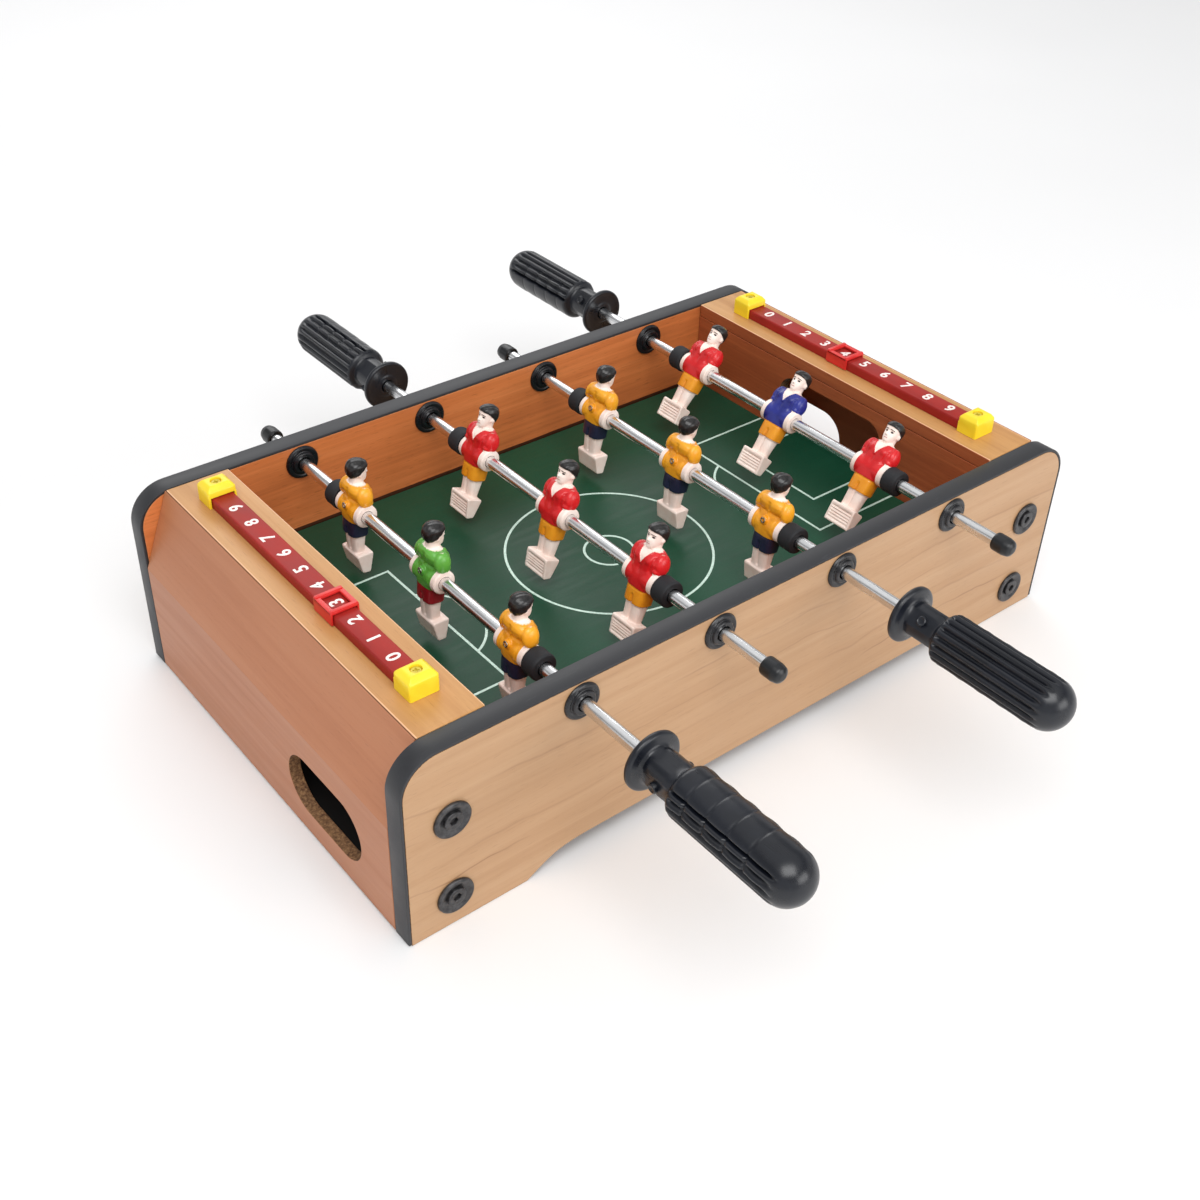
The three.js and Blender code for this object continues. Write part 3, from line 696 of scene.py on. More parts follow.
for side, turn in (("right", 0.0), ("left", math.pi)):
    T = Matrix.Rotation(turn, 4, "Z")
    wall = build(f"goal_board_{side}", *moved(moved(prism([rect(-INNER_Y, INNER_Y, 6.0, SHELF_BOTTOM - 0.3), goal_outline], WALL_X, WALL_X + WALL_T, 0.25), YZ_X), T),
                 mats=[M["wall"]], angle=10, slot="cherry_laminate", stands_for=[f"goal_wall_{side}"])
    mark_cut(wall, lambda p, n: abs(n.x) < 0.45 and abs(p.y) < GOAL_HALF + 1 and 30 < p.z < 74)
    shelf = build(f"shelf_board_{side}", *moved(moved(prism([[(WALL_X, SHELF_BOTTOM), (mitre_x - 0.25, SHELF_BOTTOM), (SHELF_X - 0.25, CAB_H), (WALL_X, CAB_H)]],
                  -INNER_Y, INNER_Y, 0.0, rings=[(0.25, -INNER_Y), (0.0, -INNER_Y + 0.2), (0.0, INNER_Y - 0.2), (0.25, INNER_Y)]), XZ_Y), T),
                  mats=[M["shelf"], M["wall"]], slot="end_laminate", stands_for=[f"end_shelf_{side}"])
    for poly in shelf.data.polygons:      # the edge over the pitch is faced like the wall under it
        if abs(poly.normal.x) > 0.9 and abs(poly.center.x) < (WALL_X + 1) * MM:
            poly.material_index = 1
    bev = shelf.modifiers.new("edge", "BEVEL")
    bev.width, bev.segments, bev.limit_method, bev.angle_limit = 0.35 * MM, 2, "ANGLE", math.radians(40)
    mark_cut(shelf, lambda p, n: False)
    face = moved(prism([rect(-INNER_Y, INNER_Y, 0.8, CREASE_Z), slot_outline], casing_in, HALF_L, 0.28), YZ_X)
    x_in = inner_x(CREASE_Z)
    slant = moved(prism([[(SHELF_X, CAB_H), (mitre_x, SHELF_BOTTOM), (x_in, CREASE_Z - 0.02), (HALF_L - 0.02, CREASE_Z - 0.02)]], -INNER_Y, INNER_Y, 0.0,
                        rings=[(0.2, -INNER_Y), (0.0, -INNER_Y + 0.15), (0.0, INNER_Y - 0.15), (0.2, INNER_Y)]), XZ_Y)
    floor = prism([rect(WALL_X + WALL_T + 0.4, casing_in + 0.5, -INNER_Y, INNER_Y)], 6.0, 11.0, 0.15, 1)
    casing = build(f"end_board_{side}", *moved(join(face, slant), T), mats=[M["casing"]],
                   angle=10, slot="end_laminate", stands_for=[f"end_casing_{side}"])
    build(f"ball_box_floor_{side}", *moved(floor, T), mats=[M["box_floor"]], angle=10)
    mark_cut(casing, lambda p, n: abs(n.x) < 0.6 and abs(n.y) < 0.999 and 9 < p.z < 40 and abs(abs(p.y) - RET_Y) < RET_W / 2 + 0.5 and abs(p.x) > casing_in - 0.2)

# ------------------------------------------------------------ score counters
def cross_head(r, z0, z1, arm=0.62, w=0.17):
    """A small pan head with a cross recess, along +Z."""
    a, b = r * arm, r * w
    cross = [(a, -b), (a, b), (b, b), (b, a), (-b, a), (-b, b), (-a, b), (-a, -b), (-b, -b), (-b, -a), (b, -a), (b, -b)]
    top = prism([circle(0, 0, r, 32), cross], z0 + (z1 - z0) * 0.4, z1, min(0.18, (z1 - z0) * 0.25))
    base = prism([circle(0, 0, r * 0.97, 32)], z0, z0 + (z1 - z0) * 0.45)
    return join(top, base)


def rounded(hx, hy, r, n=5):
    """A rectangle about the origin with round corners; always the same number of points."""
    r = max(r, 0.02)
    out = []
    for sx, sy, a in ((1, 1, 0), (-1, 1, 90), (-1, -1, 180), (1, -1, 270)):
        out += arc(sx * (hx - r), sy * (hy - r), r, a, a + 90, n)
    return out


def stacked(levels, hx, hy, r, hole=None):
    """Rounded rectangles stacked up; each level is (how far it's drawn in, height). The top can have a blind round hole."""
    verts, faces, rows = [], [], []
    for d, z in levels:
        rows.append(list(range(len(verts), len(verts) + 24)))
        verts += [(x, y, z) for x, y in rounded(hx - d, hy - d, r - d * 0.6)]
    for a, b in zip(rows, rows[1:]):
        faces += [(a[i], a[(i + 1) % 24], b[(i + 1) % 24], b[i]) for i in range(24)]
    faces.append(tuple(reversed(rows[0])))
    if hole is None:
        faces.append(tuple(rows[-1]))
        return verts, faces
    last = rows[-1]
    for rad, z in hole:
        row = list(range(len(verts), len(verts) + 24))
        pts = [math.radians(45 + 15 * (k - 2.5)) for k in range(24)]
        verts += [(rad * math.cos(a), rad * math.sin(a), z) for a in pts]
        faces += [(last[i], last[(i + 1) % 24], row[(i + 1) % 24], row[i]) for i in range(24)]
        last = row
    faces.append(tuple(last))
    return verts, faces


def block_shell():
    """The block with its inner side towards +Y: walls, sloping shoulders, a screw recess and a notch over the rail's end."""
    hx, hy = 6.1, BLOCK_L / 2
    nx, nz, ny = RAIL_W / 2 + 0.3, RAIL_H + 0.3, hy - BLOCK_NOTCH
    foot = [(-hx, -hy), (hx, -hy), (hx, hy), (nx, hy), (nx, ny), (-nx, ny), (-nx, hy), (-hx, hy)]
    radii = [1.0, 1.0, 1.0, 0.12, 0.12, 0.12, 0.12, 1.0]
    legs = prism([fillet(foot, radii, True, 5)], 0, 0, 0, rings=[(0.18, 0.0), (0.0, 0.18), (0.0, nz - 0.01), (0.3, nz + 0.4)])
    levels = [(0.0, nz), (0.0, 6.9), (0.12, 7.25), (0.36, 7.6), (1.3, 8.62), (1.6, 8.9), (2.0, 9.12), (2.5, 9.2)]
    upper = stacked(levels, hx, hy, 1.0, [(2.55, 9.2), (2.35, 9.12), (2.3, 8.95), (2.3, 7.3)])
    return join(legs, upper)


def text_mesh(body, size, thick, fatter):
    cu = bpy.data.curves.new("numeral", "FONT")
    cu.body, cu.size, cu.extrude, cu.offset = body, size, thick / 2, fatter
    cu.align_x, cu.align_y, cu.resolution_u = "CENTER", "CENTER", 6
    ob = bpy.data.objects.new("numeral", cu)
    scene.collection.objects.link(ob)
    bpy.context.view_layer.update()
    me = bpy.data.meshes.new_from_object(ob.evaluated_get(bpy.context.evaluated_depsgraph_get()))
    bm = bmesh.new()
    bm.from_mesh(me)
    bmesh.ops.remove_doubles(bm, verts=bm.verts, dist=0.002)
    co = [v.co.copy() for v in bm.verts]
    cx = (min(p.x for p in co) + max(p.x for p in co)) / 2
    cy = (min(p.y for p in co) + max(p.y for p in co)) / 2
    verts = [(p.x - cx, p.y - cy, p.z) for p in co]
    bm.verts.index_update()
    faces = [tuple(v.index for v in f.verts) for f in bm.faces]
    bm.free()
    bpy.data.objects.remove(ob)
    bpy.data.curves.remove(cu)
    bpy.data.meshes.remove(me)
    return verts, faces


NUMERALS = [text_mesh(str(d), 7.6, 0.3, 0.16) for d in range(9)]
NUMERALS.append(moved(NUMERALS[6], Matrix.Rotation(math.pi, 4, "Z")))

for side, sx in (("left", -1), ("right", 1)):
    x = sx * RAIL_X
    reach = BLOCK_L / 2 - BLOCK_NOTCH + 0.3
    y0, y1 = BLOCK_Y[side][0] + reach, BLOCK_Y[side][1] - reach
    rail = stacked([(0.2, 0.0), (0.0, 0.2), (0.0, 3.6), (0.12, 4.1), (0.42, 4.46), (0.9, 4.6)], RAIL_W / 2, (y1 - y0) / 2, 0.5)
    build(f"rail_{side}", *rail, matrix=Matrix.Translation((x, (y0 + y1) / 2, CAB_H)), mats=[M["rail"]],
          slot="rail_red", stands_for=[f"score_rail_{side}"])
    nums = []
    for d, part in enumerate(NUMERALS):
        yy = (-57.6 + DIGIT_PITCH * d) * (1 if side == "left" else -1)
        turn = Matrix.Rotation(math.radians(90 if side == "left" else -90), 4, "Z")
        nums.append(moved(part, Matrix.Translation((x, yy, CAB_H + RAIL_H + 0.0)) @ turn))
    build(f"numerals_{side}", *join(*nums), mats=[M["digits"]])
    # the slider: a plate with a window, two skirts and a finger ridge at each end
    plate = prism([rect(-5.9, 5.9, -6.45, 6.45, 0.7, 3), rect(-3.9, 3.9, -4.35, 4.35, 0.5, 3)], RAIL_H + 0.3, 6.0, 0.2)
    skirts = [prism([rect(u - 0.42, u + 0.42, -6.4, 6.4, 0.3, 2)], 0.35, 5.6, 0.12, 1) for u in (-5.48, 5.48)]
    ridges = [prism([rect(-5.7, 5.7, w - 0.85, w + 0.85, 0.5, 3)], 5.6, 6.4, 0.22) for w in (-5.45, 5.45)]
    build(f"slider_{side}", *join(plate, *skirts, *ridges), matrix=Matrix.Translation((x, SLIDER_Y[side], CAB_H)),
          body=f"score_slider_{side}", mats=[M["slider"]], slot="slider_red", stands_for=[f"score_slider_{side}"])
    for end, k, sy in (("front", 0, -1), ("rear", 1, 1)):
        at = Matrix.Translation((x, BLOCK_Y[side][k], CAB_H)) @ Matrix.Rotation(k * math.pi, 4, "Z")
        build(f"block_{side}_{end}", *block_shell(), matrix=at, mats=[M["block"]], angle=22,
              slot="block_yellow", stands_for=[f"score_block_{side}_{end}"])
        build(f"block_screw_{side}_{end}", *cross_head(1.9, 7.32, 8.5), matrix=at @ Matrix.Rotation(0.6 + sy, 4, "Z"), mats=[M["block_screw"]])

# --------------------------------------------------------- bushings and bolts
bush_r = ROD_R + 0.45
half_t = PANEL_T / 2
side_profile = [(bush_r, 2.3), (4.5, 2.3), (4.95, 2.05), (5.1, 1.25), (5.5, 1.05), (6.1, 1.35), (6.9, 1.35), (7.45, 0.95), (7.7, 0.45), (7.7, 0.04)]
bush_profile = [(r, half_t + h) for r, h in side_profile] + [(5.6, half_t + 0.04), (5.6, -half_t - 0.04)] + [(r, -half_t - h) for r, h in reversed(side_profile)]
bush_profile = fillet(bush_profile, 0.22, True, 2)
for i in range(4):
    for side, s in (("front", -1), ("rear", 1)):
        build(f"bush_{i + 1}_{side}", *lathe(bush_profile, 56, True), matrix=Matrix.Translation((ROD_X[i], s * (Y_OUT - half_t), ROD_Z)),
              mats=[M["bush"]], slot="bush_black", stands_for=[f"bushing_{i + 1}_{side}"])

washer = fillet([(2.9, 0.0), (7.3, 0.0), (7.65, 0.35), (7.5, 1.1), (6.9, 1.45), (5.9, 1.3), (4.6, 0.75), (3.9, 0.55), (2.9, 0.5)], 0.2, True, 2)
hexagon = [(1.75 * math.cos(math.pi / 3 * k), 1.75 * math.sin(math.pi / 3 * k)) for k in range(6)]
head = prism([circle(0, 0, 3.75, 40), hexagon], 0.45, 1.75, 0.28, 3)
head_floor = prism([circle(0, 0, 3.5, 40)], -0.3, 0.5)
head_all = moved(join(head, head_floor), Matrix.Rotation(-math.pi / 2, 4, "X"))
for side, s in (("front", -1), ("rear", 1)):
    for end, sx in (("left", -1), ("right", 1)):
        for level, z in (("upper", BOLT_Z[0]), ("lower", BOLT_Z[1])):
            at = Matrix.Translation((sx * BOLT_X, s * Y_OUT, z)) @ (Matrix.Rotation(math.pi, 4, "Z") if s < 0 else Matrix.Identity(4)) \
                @ Matrix.Rotation(0.4 + sx + s * 2 + z, 4, "Y")
            build(f"panel_bolt_{side}_{end}_{level}", *join(lathe(washer, 56, True), head_all), matrix=at, mats=[M["bolt"]])


# -------------------------------------------------------------------- handles
# where each grip's smooth panel points, degrees from straight up towards +X, and its screw boss, degrees from the panel
PANEL_AT = [-5.0, 55.0, 132.0, -130.0]
BOSS_AT = [-90.0, 180.0, 180.0, 78.0]


def smoothstep(a, b, x):
    t = np.clip((x - a) / (b - a), 0, 1)
    return t * t * (3 - 2 * t)


def handle_shell(boss_deg, segs=216):
    """A grip along +Y with its smooth panel towards +Z: flange, squarish neck, long ribs, cross seams near the panel, domed end, blind bore."""
    prof = [(0.0, HANDLE_L)]
    prof += [(10.2 * math.sin(a), 64.4 + 10.2 * math.cos(a)) for a in [math.pi / 2 * k / 20 for k in range(1, 21)]]
    ys = list(np.arange(64.0, 20.4, -0.4))
    prof += [(10.2, y) for y in ys]
    prof += [(10.15, 20.1), (9.95, 19.5), (9.55, 18.9), (8.9, 18.35), (8.0, 18.0), (7.45, 17.7), (7.2, 17.1), (7.1, 16.0)]
    prof += [(7.1, y) for y in (14.0, 12.0, 10.0, 8.0, 6.0, 5.0)]
    prof += [(7.2, 4.2), (7.7, 3.5), (8.6, 3.05), (10.2, 2.7), (11.2, 2.45), (11.6, 2.0), (11.7, 1.3), (11.6, 0.6), (11.25, 0.15), (10.7, 0.0),
             (9.9, 0.25), (8.6, 0.55), (6.0, 0.6), (5.2, 0.35), (4.6, 0.0), (3.3, 0.0), (3.05, 0.25), (3.05, 9.0), (3.05, HANDLE_BORE - 0.3), (0.0, HANDLE_BORE)]
    th = 2 * math.pi * np.arange(segs) / segs
    deg = (np.degrees(th) + 180) % 360 - 180
    d = np.abs(deg)
    pitch = (180 - 53.0) / 6.5
    saddle = 1 - smoothstep(47.5, 49.5, d)
    u = (d - 51.5) / pitch
    frac = np.abs((u + 0.5) % 1.0 - 0.5)                        # 0 in a groove, 0.5 on a rib's crest
    rib = np.where(d > 48.5, np.sqrt(np.clip(frac - 0.10, 0, 0.32) / 0.32), 1.0)
    first = np.exp(-((d - 51.5) / 3.0) ** 2)
    near = 1 - smoothstep(92.0, 98.0, d)                        # the ribs beside the panel have seams
    verts, rows = [], []
    for i, (r, y) in enumerate(prof):
        if r < 1e-6:
            rows.append([len(verts)])
            verts.append((0.0, y, 0.0))
            continue
        rr = np.full(segs, r)
        if 18.8 < y < 70.5 and r > 7.5:
            deep = smoothstep(19.2, 20.8, y) * (1 - smoothstep(63.0, 68.5, y))
            seams = (26.5, 36.0, 45.5, 55.0)
            dip = sum(math.exp(-((y - q) / 0.50) ** 2) for q in seams)
            swell = 0.30 * math.cos((y - 21.75) / 9.5 * 2 * math.pi)
            rr = rr - deep * (1 - rib) * 1.45 - deep * first * 0.9
            rr = rr - deep * (1 - saddle) * near * rib * (0.85 * dip - 0.55 * swell)
            rr = rr - deep * saddle * (0.20 * dip - 0.16 * swell)
            rr = rr + deep * saddle * 0.10
        elif 3.6 < y < 17.6 and 6.5 < r < 8.0:
            sq = (np.abs(np.cos(th)) ** 5 + np.abs(np.sin(th)) ** 5) ** (-0.2)
            w = smoothstep(4.4, 5.6, y) * (1 - smoothstep(16.2, 17.4, y))
            rr = rr * (1 + w * (np.minimum(sq, 1.12) * 0.955 - 1))
        rows.append(list(range(len(verts), len(verts) + segs)))
        verts += [(float(rr[k] * math.sin(th[k])), y, float(rr[k] * math.cos(th[k]))) for k in range(segs)]
    faces = []
    for a, b in zip(rows, rows[1:]):
        for k in range(segs):
            j = (k + 1) % segs
            if len(a) == 1:
                faces.append((a[0], b[j], b[k]))
            elif len(b) == 1:
                faces.append((a[k], a[j], b[0]))
            else:
                faces.append((a[k], a[j], b[j], b[k]))
    boss = lathe(fillet([(0, 5.2), (1.95, 5.2), (1.95, 8.35), (1.5, 8.6), (1.1, 8.3), (0.0, 8.2)], 0.15, False, 2), 28)
    nub = lathe(fillet([(0, 5.0), (1.5, 5.0), (1.4, 8.6), (0.9, 8.95), (0.0, 9.0)], 0.25, False, 2), 24)
    boss = moved(boss, Matrix.Translation((0, 10.9, 0)) @ Matrix.Rotation(math.radians(boss_deg), 4, "Y") @ Matrix.Rotation(math.pi / 2, 4, "X"))
    nub = moved(nub, Matrix.Translation((0, 11.4, 0)) @ Matrix.Rotation(math.radians(boss_deg + 180), 4, "Y") @ Matrix.Rotation(math.pi / 2, 4, "X"))
    return join((verts, faces), boss, nub)


# -------------------------------------------------------------------- figure
def ring(z, w, f, b, cx=0.0, n=2.4, count=44, cy=0.0):
    pts = []
    for k in range(count):
        t = 2 * math.pi * k / count
        ct, st = math.cos(t), math.sin(t)
        px = (f if ct >= 0 else b) * math.copysign(abs(ct) ** (2 / n), ct)
        py = w * math.copysign(abs(st) ** (2 / n), st)
        pts.append((cx + px, cy + py, z))
    return pts


def loft(rings):
    verts, faces, count = [], [], len(rings[0])
    for r in rings:
        verts += r
    for i in range(len(rings) - 1):
        for k in range(count):
            j = (k + 1) % count
            faces.append((i * count + k, i * count + j, (i + 1) * count + j, (i + 1) * count + k))
    faces.append(tuple(reversed(range(count))))
    faces.append(tuple(range((len(rings) - 1) * count, len(rings) * count)))
    return verts, faces


def ball(cx, cy, cz, rx, ry, rz, tilt=0.0):
    prof = [(math.sin(math.pi * k / 20), -math.cos(math.pi * k / 20)) for k in range(21)]
    prof[0], prof[-1] = (0.0, -1.0), (0.0, 1.0)
    m = Matrix.Translation((cx, cy, cz)) @ Matrix.Rotation(tilt, 4, "X") @ Matrix.Diagonal((rx, ry, rz, 1))
    return moved(lathe(prof, 32), m @ Matrix.Rotation(math.pi / 2, 4, "X"))




def hair_edge(x):
    return np.interp(x, [p[0] for p in HAIR], [p[1] for p in HAIR])


def head_ring(z, w, front, back, n=2.2):
    return ring(z, w, (front - back) / 2, (front - back) / 2, (front + back) / 2, n)


def figure_mesh():
    parts = []
    hub = lathe(fillet([(0, -HUB_HALF), (HUB_R, -HUB_HALF), (HUB_R, HUB_HALF), (0, HUB_HALF)], 0.55, False, 4), 48)
    parts.append(hub)
    parts.append(loft([ring(-5.0, 5.2, 4.0, 3.8, n=3.4), ring(-4.4, 5.7, 4.5, 4.3, n=3.4), ring(-2, 6.0, 4.9, 4.8, n=3.2), ring(0, 6.1, 5.1, 5.0, n=3),
                       ring(2.2, 6.15, 4.9, 4.5, n=3), ring(4.2, 6.35, 4.6, 3.8, n=3), ring(6.0, 6.8, 4.7, 3.5, n=2.9),
                       ring(8.0, 7.2, 5.0, 4.3, n=2.8), ring(9.6, 7.2, 4.8, 4.8, n=2.7), ring(11.0, 6.5, 3.9, 4.6, n=2.5),
                       ring(12.1, 5.1, 3.0, 4.0, n=2.3), ring(12.9, 3.2, 2.3, 3.2, n=2), ring(13.3, 1.6, 1.4, 2.0, n=2)]))
    for s in (-1, 1):
        parts.append(ball(-0.2, s * 6.8, 8.2, 3.5, 2.2, 4.3, s * 0.20))      # upper arm
        parts.append(ball(0.8, s * 6.6, 5.3, 2.8, 1.9, 2.2, s * -0.12))      # elbow
        parts.append(ball(2.2, s * 2.9, 8.4, 2.9, 2.8, 2.4))                 # chest
        parts.append(ball(-0.6, s * 3.55, 16.9, 0.9, 0.45, 1.2))             # ear
    parts.append(loft([ring(11.0, 2.9, 2.6, 3.0, -0.5, 2.2), ring(13.0, 2.7, 2.6, 2.9, -0.5, 2.2), ring(15.0, 2.8, 2.6, 3.0, -0.6, 2.2)]))
    parts.append(loft([head_ring(13.15, 1.3, 3.3, 0.2), head_ring(13.55, 2.0, 3.75, -1.2), head_ring(14.5, 2.6, 3.85, -2.7), head_ring(16.0, 3.15, 3.75, -4.0, 2.4),
                       head_ring(17.5, 3.45, 3.55, -4.6, 2.4), head_ring(19.0, 3.6, 3.7, -4.8, 2.3), head_ring(20.4, 3.5, 3.5, -4.6, 2.2),
                       head_ring(21.4, 3.0, 2.8, -4.0, 2.1), head_ring(22.1, 2.2, 1.8, -3.0, 2), head_ring(22.4, 1.0, 0.6, -1.8, 2)]))
    nose = ([(3.6, -0.5, 18.2), (3.6, 0.5, 18.2), (3.3, 0.9, 15.9), (3.3, -0.9, 15.9), (4.95, -0.35, 16.2), (4.95, 0.35, 16.2), (2.7, 0.0, 17.0)],
            [(0, 1, 5, 4), (4, 5, 2, 3), (1, 2, 5), (0, 4, 3), (1, 0, 6), (2, 1, 6), (3, 2, 6), (0, 3, 6)])
    parts.append(nose)
    parts.append(loft([ring(-11.6, 4.9, 3.9, 3.7, n=3.4), ring(-11.2, 5.2, 4.2, 4.0, n=3.4), ring(-8, 5.3, 4.3, 4.2, n=3.4), ring(-4, 5.4, 4.4, 4.2, n=3.4), ring(-2, 5.2, 4.2, 4.0, n=3.4)]))
    parts.append(loft([ring(-22.0, 4.3, 2.6, 2.2, 0.4, 3.4), ring(-19.0, 4.3, 2.6, 2.3, 0.4, 3.4), ring(-15.0, 4.4, 3.0, 2.8, 0.2, 3.4), ring(-11.0, 4.6, 3.4, 3.2, n=3.4), ring(-9, 4.6, 3.4, 3.2, n=3.4)]))
    # foot: a wedge under a flat platform, wider than the leg, thin at its lower edge
    wedge = [(-2.3, -20.6), (-1.9, -19.9), (4.7, -19.2), (5.25, -19.5), (5.25, -20.4), (4.25, -28.3), (3.9, -28.5), (0.9, -28.5), (0.45, -28.2)]
    wide = moved(prism([wedge], -6.85, 6.85, 0.3, 2), XZ_Y)
    parts.append(([(px, py * (0.965 + 0.035 * min(1.0, max(0.0, (-20.0 - pz) / 8.0))), pz) for px, py, pz in wide[0]], wide[1]))
    # boss for the screw, low on the back
    boss = lathe(fillet([(0, 2.5), (1.75, 2.5), (1.75, 5.35), (1.45, 5.6), (0, 5.6)], 0.2, False, 2), 28)
    parts.append(moved(boss, Matrix.Translation((0, 0, 2.7)) @ Matrix.Rotation(math.pi / 2, 4, "Z")))
    v, f = join(*parts)
    me = bpy.data.meshes.new("figure_union")
    me.from_pydata(v, [], f)
    bm = bmesh.new()
    bm.from_mesh(me)
    bmesh.ops.recalc_face_normals(bm, faces=bm.faces)
    bm.to_mesh(me)
    bm.free()
    ob = bpy.data.objects.new("figure_union", me)
    scene.collection.objects.link(ob)
    rem = ob.modifiers.new("union", "REMESH")
    rem.mode, rem.voxel_size, rem.adaptivity = "VOXEL", 0.33, 0.0
    sm = ob.modifiers.new("soften", "SMOOTH")
    sm.factor, sm.iterations = 0.5, 2
    bpy.context.view_layer.update()
    out = bpy.data.meshes.new_from_object(ob.evaluated_get(bpy.context.evaluated_depsgraph_get()))
    bpy.data.objects.remove(ob)
    bpy.data.meshes.remove(me)
    n = len(out.vertices)
    co = np.zeros(n * 3)
    out.vertices.foreach_get("co", co)
    co = co.reshape(-1, 3)
    no = np.zeros(n * 3)
    out.vertices.foreach_get("normal", no)
    no = no.reshape(-1, 3)
    x, y, z = co[:, 0], co[:, 1], co[:, 2]
    ay = np.abs(y)
    g = lambda a, m, s: np.exp(-((a - m) / s) ** 2)
    d = np.zeros(n)
    hair = smoothstep(-0.15, 0.15, z - hair_edge(x)) * smoothstep(13.0, 13.4, z)
    strands = 0.10 * np.sin(y * 3.1 + np.sin(z * 1.3) * 0.8 + x * 0.7)
    quiff = 0.25 * g(x, 3.0, 1.2) * g(z, 21.0, 0.8)
    d += hair * (0.42 + strands + quiff)
    # front of the face: eye hollows, brow, lips
    front = smoothstep(2.2, 3.0, x) * smoothstep(13.0, 13.5, z) * (1 - smoothstep(20.2, 20.6, z))
    d += front * (-0.36 * g(ay, 1.5, 0.85) * g(z, 17.7, 0.85) + 0.14 * g(z, 18.95, 0.42) * (ay < 2.7) + 0.12 * g(z, 14.95, 0.38) * g(y, 0, 1.0) - 0.12 * g(z, 14.3, 0.33) * g(y, 0, 1.1))
    # shirt: hem, collar, gap between arm and chest, line down the back
    shirt = smoothstep(-4.6, -4.3, z) * (1 - smoothstep(11.9, 12.5, z)) * (1 - smoothstep(6.3, 6.5, ay) * (1 - smoothstep(4.5, 5.0, z)))
    vneck = (x > 0.2) * smoothstep(6.65, 6.95, z - 1.9 * ay)
    d += 0.16 * shirt - 0.40 * vneck * smoothstep(6.4, 7.2, z) * (1 - smoothstep(12.4, 13.0, z))
    d += (x > 0.2) * 0.20 * g(z - 1.9 * ay, 6.2, 0.55) * shirt * (z > 6)
    d += -0.50 * (x > 1) * g(ay, 5.1 + 0.12 * (z - 8), 0.5) * smoothstep(3.6, 5, z) * (1 - smoothstep(10.2, 11.4, z))
    d += -0.30 * (x > 1) * g(y, 0, 0.8) * smoothstep(1.5, 3.5, z) * (1 - smoothstep(6.0, 6.6, z))
    d += -0.50 * (x < -1) * g(y, 0, 0.9) * smoothstep(6.6, 7.4, z) * (1 - smoothstep(10.2, 11.4, z))
    d += -0.55 * (x < -1) * g(z, 6.0, 0.8) * smoothstep(0.3, 1.2, ay) * (1 - smoothstep(6.2, 7.2, ay))
    d += -0.30 * (x < -1) * g(ay, 5.0, 0.5) * smoothstep(-2.0, 0.0, z) * (1 - smoothstep(5.0, 6.0, z))
    # shorts: hem and the crease between the legs
    d += 0.18 * smoothstep(-11.5, -11.1, z) * (1 - smoothstep(-5.2, -4.8, z)) * (ay < 6.0)
    leg = (1 - smoothstep(-8.2, -6.8, z)) * smoothstep(-19.3, -18.6, z)
    d += -0.70 * leg * g(y, 0, 0.6) * (np.abs(x) > 1.3)
    # a sunk panel with ridges on the striking face
    plate_face = (x > 3.2) * smoothstep(0.75, 0.95, no[:, 0]) * smoothstep(-27.6, -27.2, z) * (1 - smoothstep(-20.9, -20.5, z)) * (1 - smoothstep(5.4, 5.8, ay))
    d += plate_face * (-0.42 + 0.24 * np.cos((z + 20.9) * 2 * math.pi / 1.30))
    co = co + no * d[:, None]
    out.vertices.foreach_set("co", co.ravel().astype(np.float32))
    out.update()
    # the rod's bore
    fig = bpy.data.objects.new("figure_master", out)
    scene.collection.objects.link(fig)
    bv, bf = lathe([(0, -14), (ROD_R + 0.15, -14), (ROD_R + 0.15, 14), (0, 14)], 40)
    bme = bpy.data.meshes.new("bore")
    bme.from_pydata(bv, [], bf)
    bm = bmesh.new()
    bm.from_mesh(bme)
    bmesh.ops.recalc_face_normals(bm, faces=bm.faces)
    bm.to_mesh(bme)
    bm.free()
    bo = bpy.data.objects.new("bore", bme)
    scene.collection.objects.link(bo)
    mod = fig.modifiers.new("bore", "BOOLEAN")
    mod.operation, mod.object, mod.solver = "DIFFERENCE", bo, "EXACT"
    bpy.context.view_layer.update()
    final = bpy.data.meshes.new_from_object(fig.evaluated_get(bpy.context.evaluated_depsgraph_get()))
    for o in (fig, bo):
        bpy.data.objects.remove(o)
    return final


figure_master = figure_mesh()
print("figure faces", len(figure_master.polygons))
squads = [["yellow", "green", "yellow"], ["red", "red", "red"], ["yellow", "yellow", "yellow"], ["red", "blue", "red"]]
places = ["front", "middle", "rear"]
bumper_profile = fillet([(ROD_R + 0.3, -BUMPER_L / 2), (BUMPER_R - 0.25, -BUMPER_L / 2), (BUMPER_R, -BUMPER_L / 2 + 1.2), (BUMPER_R - 0.1, 0.0), (BUMPER_R, BUMPER_L / 2 - 1.2),
                         (BUMPER_R - 0.25, BUMPER_L / 2), (ROD_R + 0.3, BUMPER_L / 2)], [0.2, 1.0, 0.6, 1.5, 0.6, 1.0, 0.2], True, 4)
cap_profile = fillet([(0, CAP_L - 2.4), (ROD_R + 0.2, CAP_L - 2.4), (ROD_R + 0.2, 0.0), (3.75, 0.0), (3.95, 0.8), (3.95, 5.4), (3.4, 7.9), (1.6, 8.9), (0, CAP_L)],
                     [0, 0.1, 0.15, 0.25, 0.4, 1.5, 1.6, 1.1, 0], False, 4)

